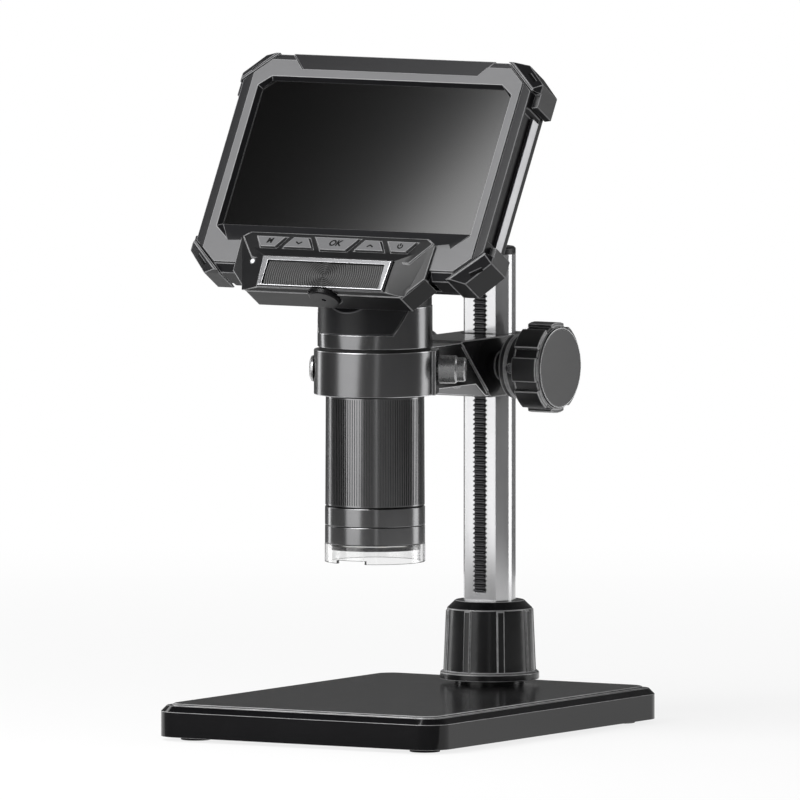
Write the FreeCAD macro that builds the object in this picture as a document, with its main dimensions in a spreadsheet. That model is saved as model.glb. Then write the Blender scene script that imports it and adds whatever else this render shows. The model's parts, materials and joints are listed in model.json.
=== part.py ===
import FreeCAD, Part
import math
import os
import Sketcher

os.makedirs("parts", exist_ok=True)

doc = FreeCAD.newDocument("digital_microscope")
sheet = doc.addObject("Spreadsheet::Sheet", "sizes")
vector = FreeCAD.Vector


class Size:
    """A number in millimetres or degrees, with the expression that gives it."""

    def __init__(self, value, text):
        self.value = value
        self.text = text

    def __add__(self, other):
        other = as_size(other)
        return Size(self.value + other.value, f"({self.text} + {other.text})")

    def __radd__(self, other):
        return as_size(other) + self

    def __sub__(self, other):
        other = as_size(other)
        return Size(self.value - other.value, f"({self.text} - {other.text})")

    def __rsub__(self, other):
        return as_size(other) - self

    def __mul__(self, other):
        other = as_size(other)
        return Size(self.value * other.value, f"({self.text} * {other.text})")

    def __rmul__(self, other):
        return as_size(other) * self

    def __truediv__(self, other):
        other = as_size(other)
        return Size(self.value / other.value, f"({self.text} / {other.text})")

    def __neg__(self):
        return Size(-self.value, f"(0 - {self.text})")


def as_size(number):
    """Give a plain number the form of a Size."""
    if isinstance(number, Size):
        return number
    return Size(float(number), f"{float(number):.6f}")


class Sizes:
    """The driving sizes by name, each one a cell of the sheet."""


d = Sizes()
sheet_row = [1]


def size(name, value, note):
    """Write one driving size to the sheet and name it."""
    row = sheet_row[0]
    sheet.set(f"A{row}", note)
    sheet.set(f"B{row}", str(value))
    sheet.setAlias(f"B{row}", name)
    sheet_row[0] = row + 1
    setattr(d, name, Size(float(value), f"sizes.{name}"))


def follow(name, number):
    """Name a size that follows from the ones before it."""
    setattr(d, name, as_size(number))


# Fits
size("sliding_fit", 0.05, "radial clearance of the post, the shafts and other running fits")
size("small_gap", 0.3, "gap beside a part that moves")
size("seam", 0.05, "gap between two covers")

# Base
size("base_width", 108.8, "base, side to side")
size("base_depth", 147.3, "base, front to back")
size("base_corner", 8.5, "base corner radius")
size("base_side", 8.25, "straight side of the base")
size("base_chamfer", 1.9, "chamfer round the top of the base")
size("foot_height", 1.3, "feet below the base")
size("foot_radius", 5, "foot radius")
size("foot_inset", 10.7, "foot centre from the edges of the base")
size("foot_socket", 0.8, "depth that a foot is let into the base")
size("panel_margin", 3.2, "edge of the stage panel from the edge of the base")
size("panel_proud", 0.7, "stage panel above the base")
size("panel_depth", 1.5, "stage panel let into the base")

# Post
size("post_place", 52.35, "post axis behind the centre of the base")
size("post_radius", 8.6, "post radius")
size("post_top", 154.4, "top of the post above the table")
size("post_foot", 4.5, "bottom of the post above the table")
size("post_flat_depth", 2.4, "depth of the front flat of the post")
follow("post_flat", d.post_radius - d.post_flat_depth)
size("cap_height", 2.4, "post cap")
size("cap_spigot", 6, "length of the cap's spigot")
size("bolt_radius", 3, "post bolt and cap spigot radius")
size("bolt_reach", 13, "post bolt in the post")
size("bolt_head_radius", 5, "post bolt head")
size("bolt_head_height", 2.2, "height of the post bolt head")
size("collar_neck_wall", 2.75, "collar neck beside the post")
follow("collar_neck_radius", d.post_radius + d.collar_neck_wall)
size("collar_neck_height", 1.45, "collar neck above the stage panel")
size("collar_flange_wall", 7.8, "collar flange beside the post")
follow("collar_flange_radius", d.post_radius + d.collar_flange_wall)
size("collar_flange_height", 2.7, "height of the collar flange")
size("collar_low_wall", 6.45, "collar body beside the post, at the flange")
follow("collar_low_radius", d.post_radius + d.collar_low_wall)
size("collar_high_wall", 5.55, "collar body beside the post, at the top")
follow("collar_high_radius", d.post_radius + d.collar_high_wall)
size("collar_body_height", 20.7, "height of the collar body")
size("collar_crown_height", 2.7, "height of the collar's top chamfer")
size("collar_rib_width", 2.3, "width of a collar rib")
size("collar_rib_proud", 0.55, "collar rib above the body")

# Rack and pinion, module and teeth are set with the pinion
size("tooth_module", 0.5, "module of the rack and the pinion")
size("pinion_teeth", 20, "teeth of the pinion")
size("rack_width", 4, "width of the rack")
size("rack_inset", 1.7, "pitch line of the rack inside the round of the post")
follow("rack_pitch_line", d.post_radius - d.rack_inset)
size("rack_depth", 2.6, "rack behind its pitch line")
size("rack_low", 43, "lower end of the rack above the table")
size("tooth_backlash", 0.16, "backlash at the pitch line")
size("pinion_width", 6, "length of the pinion")
size("pinion_height", 118.6, "pinion axis above the table")
size("shaft_radius", 2.5, "pinion shaft radius")
size("bush_wall", 0.9, "wall of a shaft bush")

# Carriage and knobs
size("carriage_wall", 2.9, "carriage beside the post")
follow("carriage_width", (d.post_radius + d.carriage_wall) * 2)
size("carriage_below", 10.3, "carriage below the pinion axis")
follow("carriage_low", d.pinion_height - d.carriage_below)
size("carriage_above", 9.6, "carriage above the pinion axis")
follow("carriage_top", d.pinion_height + d.carriage_above)
size("carriage_rear_wall", 4.4, "carriage behind the post")
follow("carriage_back", d.post_radius + d.carriage_rear_wall)
size("liner_wall", 1, "wall of the guide liner")
size("boss_radius", 4.6, "round boss at the shaft")
size("boss_length", 3.7, "boss beside the carriage")
follow("boss_reach", d.carriage_width / 2 + d.boss_length)
size("knob_gap", 0.5, "knob beside the boss")
follow("hub_start", d.boss_reach + d.knob_gap)
size("hub_radius", 10.75, "knob hub radius")
size("hub_length", 7.7, "length of the knob hub")
follow("grip_start", d.hub_start + d.hub_length)
size("grip_length", 10.3, "length of the grip")
follow("grip_end", d.grip_start + d.grip_length)
size("grip_radius", 15, "radius over the grip pads")
size("grip_pad_proud", 1.1, "grip pad above the grip")
follow("grip_core_radius", d.grip_radius - d.grip_pad_proud)
size("grip_pad_width", 8.1, "width of a grip pad")
size("knob_rim", 1.9, "rim of the knob outside its cap")
follow("knob_cap_radius", d.grip_radius - d.knob_rim)
size("knob_cap_proud", 0.5, "knob cap above the grip")
size("knob_cap_seat", 1.2, "depth of the knob cap's seat")

# Holder arm and tube
size("tube_place", -21.55, "tube axis from the centre of the base, front is minus")
size("inner_tube_radius", 14.1, "inner tube, outside")
size("spigot_wall", 2.8, "wall of the neck sleeve in the ring")
size("ring_wall", 3.2, "holder ring outside the neck sleeve")
follow("spigot_bore", d.inner_tube_radius)
follow("spigot_radius", d.spigot_bore + d.spigot_wall)
follow("ring_radius", d.spigot_radius + d.ring_wall)
size("ring_low", 112.8, "bottom of the holder ring")
size("ring_top", 127.6, "top of the holder ring")
size("arm_width", 23, "arm, side to side")
size("arm_low", 113.3, "bottom of the arm")
size("joint_top_place", 14.4, "joint of arm and carriage at the top, from the base centre")
size("joint_low_place", 32.9, "joint of arm and carriage at the bottom")
size("joint_low", 109, "height of the joint's lower end")
size("arm_haunch", 2.7, "lower edge of the arm at the joint")
size("arm_screw_side", 6, "screws of the joint from the middle")
size("clamp_turn", 25, "thumbscrew direction, degrees from the side towards the post")
size("clamp_height", 121, "thumbscrew axis above the table")
size("clamp_head_radius", 4.6, "thumbscrew head")
size("clamp_head_gap", 0.9, "thumbscrew head outside the ring")
follow("clamp_head_start", d.ring_radius + d.clamp_head_gap)
size("clamp_head_length", 6.2, "length of the thumbscrew head")
follow("clamp_head_end", d.clamp_head_start + d.clamp_head_length)
size("clamp_tip_radius", 3.95, "thumbscrew end knob")
size("clamp_tip_length", 2.8, "length of the thumbscrew end knob")
follow("clamp_tip_end", d.clamp_head_end + d.clamp_tip_length)
size("clamp_thread_radius", 1.9, "thumbscrew thread")

# Neck and tube
size("sleeve_shoulder", 2, "sleeve collar outside its spigot")
follow("sleeve_radius", d.spigot_radius + d.sleeve_shoulder)
size("sleeve_low", 128.5, "underside of the sleeve collar")
size("sleeve_step", 133.3, "front of the sleeve collar")
size("sleeve_top", 142.1, "rear top of the sleeve")
size("neck_step", 0.2, "black neck inside the sleeve")
follow("neck_radius", d.sleeve_radius - d.neck_step)
size("neck_bore", 8, "cable way in the neck")
size("neck_bore_length", 16, "length of the cable way")
size("neck_cut", -22.5, "front cut of the sleeve, behind the screen plane")
size("neck_rear_lean", 22, "rear of the neck, degrees from upright")
size("neck_rear_low", 144, "height where the rear of the neck starts to lean")
size("focus_top_wall", 2.1, "focus ring outside the inner tube, at the top")
follow("focus_top_radius", d.inner_tube_radius + d.focus_top_wall)
size("focus_low_wall", 2.25, "focus ring outside the inner tube, at the bottom")
follow("focus_low_radius", d.inner_tube_radius + d.focus_low_wall)
size("focus_top", 112.5, "top of the focus ring")
size("front_ring_wall", 2.35, "front rings outside the inner tube")
follow("front_ring_radius", d.inner_tube_radius + d.front_ring_wall)
size("front_ring_top", 76, "top of the upper front ring")
size("front_ring_middle", 69.8, "seam of the front rings")
size("front_ring_low", 63.8, "bottom of the lower front ring")
size("hood_low", 57.7, "bottom of the clear lamp hood")
size("hood_step", 0.05, "lamp hood outside the front rings")
follow("hood_radius", d.front_ring_radius + d.hood_step)
size("hood_wall", 1.4, "wall of the lamp hood")
size("inner_tube_wall", 1.4, "wall of the inner tube")
size("inner_tube_top", 124, "top of the inner tube")
size("lens_height", 92, "middle of the lens cell")
size("lens_cell_length", 14, "length of the lens cell")
size("lens_inset", 7.1, "lenses inside the inner tube")
follow("lens_radius", d.inner_tube_radius - d.lens_inset)
size("lamp_inset", 4.5, "circle of lamps inside the inner tube")
follow("lamp_circle", d.inner_tube_radius - d.lamp_inset)
size("lamp_count", 8, "number of lamps")

# Head. Its own axes are across (X), back from the screen (Y) and up the screen (Z)
size("head_tilt", 30.5, "screen tilt from upright, degrees")
size("head_place", -26.05, "screen centre from the base centre")
size("head_height", 190.9, "screen centre above the table")
size("screen_width", 94.9, "visible screen, across")
size("screen_height", 52.9, "visible screen, up")
size("glass_margin", 1.6, "glass behind the edge of the bezel")
size("glass_thickness", 1, "screen glass")
size("module_depth", 3.2, "display module")
size("bezel_side", 3.85, "bezel beside the screen")
follow("bezel_half", d.screen_width / 2 + d.bezel_side)
size("bezel_above", 7.05, "bezel above the screen")
follow("bezel_top", d.screen_height / 2 + d.bezel_above)
size("bezel_below", 14.55, "bezel below the screen")
follow("bezel_low", -(d.screen_height / 2 + d.bezel_below))
size("bezel_front", 2, "bezel face before the screen")
size("bezel_back", -3, "back of the bezel")
size("bezel_corner_x", 5.7, "bezel corner cut, across")
size("bezel_corner_z", 5, "bezel corner cut, up")
size("bevel_side", 1, "recess slope at the sides and the top")
size("bevel_low", 6.2, "recess slope at the bottom")
size("bevel_corner", 4.5, "recess corner cut")
size("opening_cut", 3, "upper corner cut of the screen opening")
size("strip_inset", 14.05, "end of the top strip from the side of the screen")
follow("notch_half", d.screen_width / 2 - d.strip_inset)
size("strip_flare", 5.2, "top strip wider at its upper edge, each end")
follow("notch_outer_half", d.notch_half + d.strip_flare)
size("strip_above", 3.95, "top strip above the screen")
follow("notch_low", d.screen_height / 2 + d.strip_above)
size("frame_side", 3.8, "frame beside the bezel")
follow("frame_half", d.bezel_half + d.frame_side)
size("frame_above", 2.6, "frame above the bezel")
follow("frame_top", d.bezel_top + d.frame_above)
size("frame_below", 2.8, "frame below the bezel")
follow("frame_low", d.bezel_low - d.frame_below)
size("frame_low_lean", 2.4, "lean of the lower frame towards the front")
follow("frame_low_front", d.frame_low + d.frame_low_lean)
size("frame_front", 1.5, "front edge of the frame")
size("frame_bevel_back", -0.85, "back of the frame's front bevel")
size("frame_back", -8.8, "parting line of frame and back shell")
size("shell_back", -13.3, "back of the head")
size("shell_wall", 1.6, "wall of the covers")
size("shell_bevel", 2.2, "bevel round the back")
size("side_recess", 1.4, "depth of the side recess")
size("side_recess_above", 13.5, "side recess below the top of the bezel")
follow("side_recess_top", d.bezel_top - d.side_recess_above)
size("side_recess_below", 12, "side recess above the bottom of the bezel")
follow("side_recess_low", d.bezel_low + d.side_recess_below)
size("side_recess_front", 0.7, "front of the side recess")
size("rail_front", -4.9, "front of the side rail")
size("rail_proud", 1.2, "side rail above the floor of its recess")
size("guard_side", 2.4, "corner guards beside the frame")
follow("guard_half", d.frame_half + d.guard_side)
size("guard_above", 0.3, "corner guards above the frame")
follow("guard_top", d.frame_top + d.guard_above)
size("guard_below", 0.3, "corner guards below the frame")
follow("guard_low", d.frame_low - d.guard_below)
size("guard_front", 1.6, "front of the corner guards")
size("guard_bevel_back", -1, "back of the guards' front bevel")
size("guard_bevel_share", 0.2, "front edge of the guards' bevel, as a share of its width")
size("guard_cut_high_x", 7.2, "outer corner cut of an upper guard, across")
size("guard_cut_high_z", 6.9, "outer corner cut of an upper guard, up")
size("guard_cut_low_x", 7.6, "outer corner cut of a lower guard, across")
size("guard_cut_low_z", 7.9, "outer corner cut of a lower guard, up")
size("guard_back", -11.5, "back of the corner guards")
size("guard_wrap_front", -1.5, "front of the guards on the sides")
size("corner_cut_high_x", 11.4, "upper corner cut of the frame, across")
size("corner_cut_high_z", 10, "upper corner cut of the frame, up")
size("corner_cut_low_x", 11.6, "lower corner cut of the frame, across")
size("corner_cut_low_z", 10.2, "lower corner cut of the frame, up")
size("guard_wrap_high", 15.1, "reach of an upper guard down the side")
size("guard_wrap_low", 13.8, "reach of a lower guard up the side")

# Console
size("console_below", 8.2, "console below the frame")
follow("console_low", d.frame_low - d.console_below)
size("console_gap", 3.75, "console below the screen")
follow("console_top", -(d.screen_height / 2 + d.console_gap))
size("console_half", 37, "console, half width")
size("console_low_half", 29.4, "console, half width at the bottom")
size("panel_low_half", 30, "button panel, half width at the bottom")
size("console_back", -7, "back of the console")
size("plateau_front", 5.2, "console face under the decor frame")
size("decor_front", 6.4, "front of the decor frame")
size("decor_half_top", 24.8, "decor frame, half width at the top")
size("decor_half_low", 24.2, "decor frame, half width at the bottom")
size("decor_rise", 12.1, "decor frame top above the bottom of the console")
follow("decor_top", d.console_low + d.decor_rise)
size("decor_foot", 0.6, "decor frame above the bottom of the console")
follow("decor_low", d.console_low + d.decor_foot)
size("window_half", 22.2, "decor plate, half width")
size("window_rim_top", 1.9, "decor frame above its plate")
follow("window_top", d.decor_top - d.window_rim_top)
size("window_rim_low", 0.8, "decor frame below its plate")
follow("window_low", d.decor_low + d.window_rim_low)
size("button_drop", 4, "middle of the buttons below the top of the console")
follow("button_line", d.console_top - d.button_drop)
size("keypad_half", 31.5, "opening behind the buttons, half width")
follow("keypad_low", d.button_line - 5.4)
follow("keypad_high", d.button_line + 3)
size("button_height", 3.9, "button height, up the screen")
size("button_wide", 5.4, "button, half its long edge")
size("button_narrow", 2.7, "button, half its short edge")
size("confirm_height", 4.8, "middle button height")
size("confirm_wide", 8.3, "middle button, half its long edge")
size("confirm_narrow", 4.7, "middle button, half its short edge")
size("button_pitch_near", 13.6, "up and down buttons from the middle")
size("button_pitch_far", 24.9, "menu and power buttons from the middle")
size("button_proud", 0.9, "buttons above the panel")
size("button_bottom", 1.3, "bottom of the buttons before the screen plane")
size("button_travel", 0.6, "button travel")
size("mat_thickness", 1, "keypad mat")
size("board_thickness", 1.2, "circuit boards")
size("light_radius", 0.7, "status light")
size("wheel_radius", 5.3, "brightness wheel")
size("wheel_pin_radius", 1.5, "pin of the brightness wheel")
size("wheel_place", 1.3, "wheel axis before the screen plane")
size("wheel_proud", 1.2, "brightness wheel below the console")
follow("wheel_low", d.console_low - d.wheel_proud)
size("wheel_width", 2, "thickness of the brightness wheel")

nodes = []


def node(item, label):
    """Name a finished sub-part."""
    item.Label = label
    nodes.append(item)
    return item


def bind(item, path, number):
    """Tie a property to the sheet, or set it where it is a plain number."""
    item.setExpression(path, as_size(number).text)


def place(item, x=0, y=0, z=0):
    """Put an object at sizes of the sheet."""
    for axis, number in (("x", x), ("y", y), ("z", z)):
        bind(item, f"Placement.Base.{axis}", number)
    return item


def on_head(item):
    """Put an object made in the head's axes on the tilted head."""
    item.Placement = FreeCAD.Placement(vector(), FreeCAD.Rotation(vector(-1, 0, 0), d.head_tilt.value))
    bind(item, "Placement.Rotation.Angle", d.head_tilt)
    return place(item, 0, d.head_place, d.head_height)


def body(label):
    """Start a PartDesign body."""
    return doc.addObject("PartDesign::Body", label)


def sketch(owner, plane, offset=0):
    """Start a sketch on an origin plane of a body."""
    drawing = owner.newObject("Sketcher::SketchObject", "outline")
    base = [f for f in owner.Origin.OriginFeatures if f.Role == plane][0]
    drawing.AttachmentSupport = (base, [""])
    drawing.MapMode = "FlatFace"
    bind(drawing, "AttachmentOffset.Base.z", offset)
    return drawing


def pin_point(drawing, index, end, x, z):
    """Fix one point of a sketch at two sizes."""
    for kind, number in (("DistanceX", as_size(x)), ("DistanceY", as_size(z))):
        row = drawing.addConstraint(Sketcher.Constraint(kind, -1, 1, index, end, number.value))
        drawing.setExpression(f"Constraints[{row}]", number.text)


def polygon(drawing, points):
    """Draw a closed outline of straight lines."""
    points = [(as_size(x), as_size(z)) for x, z in points]
    places = [vector(x.value, z.value, 0) for x, z in points]
    first = drawing.GeometryCount
    count = len(points)
    for i in range(count):
        drawing.addGeometry(Part.LineSegment(places[i], places[(i + 1) % count]), False)
    for i in range(count):
        after = first + (i + 1) % count
        drawing.addConstraint(Sketcher.Constraint("Coincident", first + i, 2, after, 1))
        pin_point(drawing, first + i, 1, *points[i])


def rectangle(drawing, left, right, low, high):
    """Draw a rectangle."""
    polygon(drawing, [(left, low), (right, low), (right, high), (left, high)])


def circle(drawing, radius, x=0, z=0):
    """Draw a circle."""
    radius, x, z = as_size(radius), as_size(x), as_size(z)
    ring = Part.Circle(vector(x.value, z.value, 0), vector(0, 0, 1), radius.value)
    index = drawing.addGeometry(ring, False)
    row = drawing.addConstraint(Sketcher.Constraint("Radius", index, radius.value))
    drawing.setExpression(f"Constraints[{row}]", radius.text)
    pin_point(drawing, index, 3, x, z)


def pad(owner, drawing, length, backwards=False, middle=False):
    """Raise a sketch by a length."""
    feature = owner.newObject("PartDesign::Pad", "pad")
    feature.Profile = drawing
    feature.Reversed = backwards
    feature.Midplane = middle
    bind(feature, "Length", length)
    return feature


def pocket(owner, drawing, length, backwards=False, middle=False):
    """Sink a sketch by a length, against its plane's direction unless backwards."""
    feature = owner.newObject("PartDesign::Pocket", "pocket")
    feature.Profile = drawing
    feature.Reversed = backwards
    feature.Midplane = middle
    bind(feature, "Length", length)
    return feature


def turned(label, points):
    """Make a body by turning an outline of radius and height about the upright axis."""
    owner = body(label)
    drawing = sketch(owner, "XZ_Plane")
    polygon(drawing, points)
    feature = owner.newObject("PartDesign::Revolution", "turned")
    feature.Profile = drawing
    feature.ReferenceAxis = (drawing, ["V_Axis"])
    feature.Angle = 360
    return owner


def tube(label, outer, inner, low, high):
    """Make a plain ring, or a disc where inner is nothing."""
    if inner is None:
        return turned(label, [(0, low), (outer, low), (outer, high), (0, high)])
    return turned(label, [(inner, low), (outer, low), (outer, high), (inner, high)])


def slab(label, points, back, front):
    """Make a flat piece of the head from its outline and its two depths before the screen."""
    owner = body(label)
    drawing = sketch(owner, "XZ_Plane", front)
    polygon(drawing, points)
    pad(owner, drawing, as_size(front) - back, backwards=True)
    return owner


def slab_hole(owner, points, back, front):
    """Cut an outline through part of a head piece."""
    drawing = sketch(owner, "XZ_Plane", front)
    polygon(drawing, points)
    return pocket(owner, drawing, as_size(front) - back)


def slope(owner, low_points, low_at, high_points, high_at, cut=False):
    """Add or cut a straight-sided loft between two outlines of as many points."""
    first = sketch(owner, "XZ_Plane", low_at)
    polygon(first, low_points)
    second = sketch(owner, "XZ_Plane", high_at)
    polygon(second, high_points)
    kind = "SubtractiveLoft" if cut else "AdditiveLoft"
    feature = owner.newObject(f"PartDesign::{kind}", "slope")
    feature.Profile = first
    feature.Sections = [second]
    feature.Ruled = True
    return feature


def box_points(half, low, high):
    """Give the outline of a box that is even about the middle."""
    return [(-half, low), (half, low), (half, high), (-half, high)]


def primitive_box(x0, x1, y0, y1, z0, z1):
    """Make a Part box from its six faces."""
    item = doc.addObject("Part::Box", "block")
    for name, low, high in (("Length", x0, x1), ("Width", y0, y1), ("Height", z0, z1)):
        bind(item, name, as_size(high) - low)
    return place(item, x0, y0, z0)


def cylinder(radius, x, y, z, length, turn=None):
    """Make a Part cylinder along Z, or turned about an axis by an angle."""
    item = doc.addObject("Part::Cylinder", "round")
    bind(item, "Radius", radius)
    bind(item, "Height", length)
    if turn:
        axis, angle = turn
        item.Placement = FreeCAD.Placement(vector(), FreeCAD.Rotation(axis, angle))
    return place(item, x, y, z)


def cut(base, tools):
    """Take tools away from a base."""
    for tool in tools:
        item = doc.addObject("Part::Cut", "cut")
        item.Base = base
        item.Tool = tool
        base = item
    return base


def fuse(shapes):
    """Join shapes."""
    item = doc.addObject("Part::MultiFuse", "joined")
    item.Shapes = shapes
    return item


def common(base, tool):
    """Keep what two shapes share."""
    item = doc.addObject("Part::Common", "shared")
    item.Base = base
    item.Tool = tool
    return item


x_way = (vector(0, 1, 0), 90)


# Base
half_width = d.base_width / 2
half_depth = d.base_depth / 2
side_top = d.foot_height + d.base_side
base_top = side_top + d.base_chamfer
panel_top = base_top + d.panel_proud
panel_low = base_top - d.panel_depth
foot_x = half_width - d.foot_inset
foot_y = half_depth - d.foot_inset


def rounded_rectangle(drawing, half_x, half_y, radius):
    """Draw a rectangle with round corners."""
    half_x, half_y, radius = as_size(half_x), as_size(half_y), as_size(radius)
    inner_x, inner_y = half_x - radius, half_y - radius
    corners = [(inner_x, -inner_y, -90), (inner_x, inner_y, 0),
               (-inner_x, inner_y, 90), (-inner_x, -inner_y, 180)]
    arcs = []
    for x, y, start in corners:
        ring = Part.Circle(vector(x.value, y.value, 0), vector(0, 0, 1), radius.value)
        arc = Part.ArcOfCircle(ring, math.radians(start), math.radians(start + 90))
        arcs.append(drawing.addGeometry(arc, False))
        row = drawing.addConstraint(Sketcher.Constraint("Radius", arcs[-1], radius.value))
        drawing.setExpression(f"Constraints[{row}]", radius.text)
        pin_point(drawing, arcs[-1], 3, x, y)
    for i, arc in enumerate(arcs):
        after = arcs[(i + 1) % len(arcs)]
        ends = []
        for index, end, (x, y, start) in ((arc, 90, corners[i]), (after, 0, corners[(i + 1) % len(arcs)])):
            angle = math.radians(start + end)
            ends.append(vector(x.value + radius.value * math.cos(angle),
                               y.value + radius.value * math.sin(angle), 0))
        line = drawing.addGeometry(Part.LineSegment(*ends), False)
        drawing.addConstraint(Sketcher.Constraint("Tangent", arc, 2, line, 1))
        drawing.addConstraint(Sketcher.Constraint("Tangent", line, 2, after, 1))


def top_edge(feature):
    """Name one edge round the top of a feature."""
    high = feature.Shape.BoundBox.ZMax
    for i, edge in enumerate(feature.Shape.Edges):
        if edge.BoundBox.ZMin > high - 1e-6:
            return f"Edge{i + 1}"
    return None


def chamfer_top(owner, feature, width):
    """Chamfer the top of a feature all round."""
    doc.recompute()
    bevel = owner.newObject("PartDesign::Chamfer", "bevel")
    bevel.Base = (feature, [top_edge(feature)])
    bind(bevel, "Size", width)
    return bevel


base_plate = body("base_plate")
drawing = sketch(base_plate, "XY_Plane", d.foot_height)
rounded_rectangle(drawing, half_width, half_depth, d.base_corner)
chamfer_top(base_plate, pad(base_plate, drawing, base_top - d.foot_height), d.base_chamfer)
drawing = sketch(base_plate, "XY_Plane", base_top)
panel_corner = d.base_corner - d.panel_margin + 1
rounded_rectangle(drawing, half_width - d.panel_margin, half_depth - d.panel_margin, panel_corner)
pocket(base_plate, drawing, d.panel_depth)
drawing = sketch(base_plate, "XY_Plane", base_top)
circle(drawing, d.bolt_radius + d.sliding_fit, 0, d.post_place)
pocket(base_plate, drawing, base_top - d.foot_height)
drawing = sketch(base_plate, "XY_Plane", base_top)
circle(drawing, d.post_radius + d.seam, 0, d.post_place)
pocket(base_plate, drawing, base_top - d.post_foot)
drawing = sketch(base_plate, "XY_Plane", d.foot_height)
circle(drawing, d.bolt_head_radius + d.small_gap, 0, d.post_place)
pocket(base_plate, drawing, d.bolt_head_height, backwards=True)
for side in (-1, 1):
    for end in (-1, 1):
        drawing = sketch(base_plate, "XY_Plane", d.foot_height)
        circle(drawing, d.foot_radius + d.seam, foot_x * side, foot_y * end)
        pocket(base_plate, drawing, d.foot_socket, backwards=True)
node(base_plate, "base_plate")

stage_panel = body("stage_panel")
drawing = sketch(stage_panel, "XY_Plane", panel_low)
panel_half_x = half_width - d.panel_margin - d.seam
panel_half_y = half_depth - d.panel_margin - d.seam
rounded_rectangle(drawing, panel_half_x, panel_half_y, panel_corner - d.seam)
chamfer_top(stage_panel, pad(stage_panel, drawing, panel_top - panel_low), d.panel_proud)
drawing = sketch(stage_panel, "XY_Plane", panel_top)
circle(drawing, d.collar_neck_radius + d.seam, 0, d.post_place)
pocket(stage_panel, drawing, panel_top - panel_low)
node(stage_panel, "stage_panel")

feet = []
for side in (-1, 1):
    for end in (-1, 1):
        feet.append(cylinder(d.foot_radius, foot_x * side, foot_y * end, 0, d.foot_height + d.foot_socket))
node(fuse(feet), "rubber_feet")

# Post with its collar, cap, bolt and rack
post = body("post")
drawing = sketch(post, "XY_Plane", d.post_foot)
circle(drawing, d.post_radius)
pad(post, drawing, d.post_top - d.post_foot)
rack_count = int((d.post_top.value - 3 - d.rack_low.value) / (math.pi * d.tooth_module.value))
tooth_pitch = d.tooth_module * math.pi
teeth_below = int((d.pinion_height.value - d.rack_low.value) / tooth_pitch.value)
rack_start = d.pinion_height - tooth_pitch * (teeth_below + 0.5)
rack_length = tooth_pitch * rack_count
rack_half = d.rack_width / 2
rack_back = d.rack_pitch_line - d.rack_depth
neck_top = panel_top + d.collar_neck_height
flange_top = neck_top + d.collar_flange_height
body_top = flange_top + d.collar_body_height
collar_top = body_top + d.collar_crown_height
drawing = sketch(post, "XY_Plane", d.post_top)
rectangle(drawing, -d.post_radius, d.post_radius, -(d.post_radius * 2), -d.post_flat)
pocket(post, drawing, d.post_top - collar_top)
drawing = sketch(post, "XY_Plane", rack_start + rack_length + d.seam)
rectangle(drawing, -(rack_half + d.seam), rack_half + d.seam, -(d.post_radius * 2), -rack_back)
pocket(post, drawing, rack_length + d.seam * 2)
drawing = sketch(post, "XY_Plane", d.post_foot)
circle(drawing, d.bolt_radius)
pocket(post, drawing, d.bolt_reach, backwards=True)
drawing = sketch(post, "XY_Plane", d.post_top)
circle(drawing, d.bolt_radius)
pocket(post, drawing, d.cap_spigot)
place(post, 0, d.post_place, 0)
node(post, "post")

post_cap = turned("post_cap", [
    (0, d.post_top - d.cap_spigot), (d.bolt_radius, d.post_top - d.cap_spigot), (d.bolt_radius, d.post_top),
    (d.post_radius, d.post_top), (d.post_radius, d.post_top + d.cap_height - 0.6),
    (d.post_radius - 0.6, d.post_top + d.cap_height), (0, d.post_top + d.cap_height)])
node(place(post_cap, 0, d.post_place, 0), "post_cap")

bolt_top = d.post_foot + d.bolt_reach
head_top = d.foot_height + d.bolt_head_height
post_bolt = turned("post_bolt", [
    (0, d.foot_height + 0.2), (d.bolt_head_radius, d.foot_height + 0.2), (d.bolt_head_radius, head_top),
    (d.bolt_radius, head_top), (d.bolt_radius, bolt_top), (0, bolt_top)])
node(place(post_bolt, 0, d.post_place, 0), "post_bolt")

collar_bore = d.post_radius
post_collar = turned("post_collar", [
    (collar_bore, panel_low), (d.collar_neck_radius, panel_low), (d.collar_neck_radius, neck_top),
    (d.collar_flange_radius, neck_top), (d.collar_flange_radius, flange_top - 0.5),
    (d.collar_flange_radius - 0.6, flange_top), (d.collar_low_radius, flange_top),
    (d.collar_high_radius, body_top), (d.collar_neck_radius, collar_top), (collar_bore, collar_top)])
rib = sketch(post_collar, "XZ_Plane")
rib_foot = d.collar_low_radius + d.collar_rib_proud
rib_head = d.collar_high_radius + d.collar_rib_proud
polygon(rib, [(d.collar_neck_radius, flange_top - 0.5), (rib_foot, flange_top - 0.5), (rib_foot, flange_top),
              (rib_head, body_top - 0.4), (d.collar_neck_radius, body_top - 0.4)])
rib_pad = pad(post_collar, rib, d.collar_rib_width, middle=True)
ribs = post_collar.newObject("PartDesign::PolarPattern", "ribs")
ribs.Originals = [rib_pad]
ribs.Axis = (rib, ["V_Axis"])
ribs.Angle = 360
ribs.Occurrences = 8
post_collar.Tip = ribs
node(place(post_collar, 0, d.post_place, 0), "post_collar")

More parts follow.
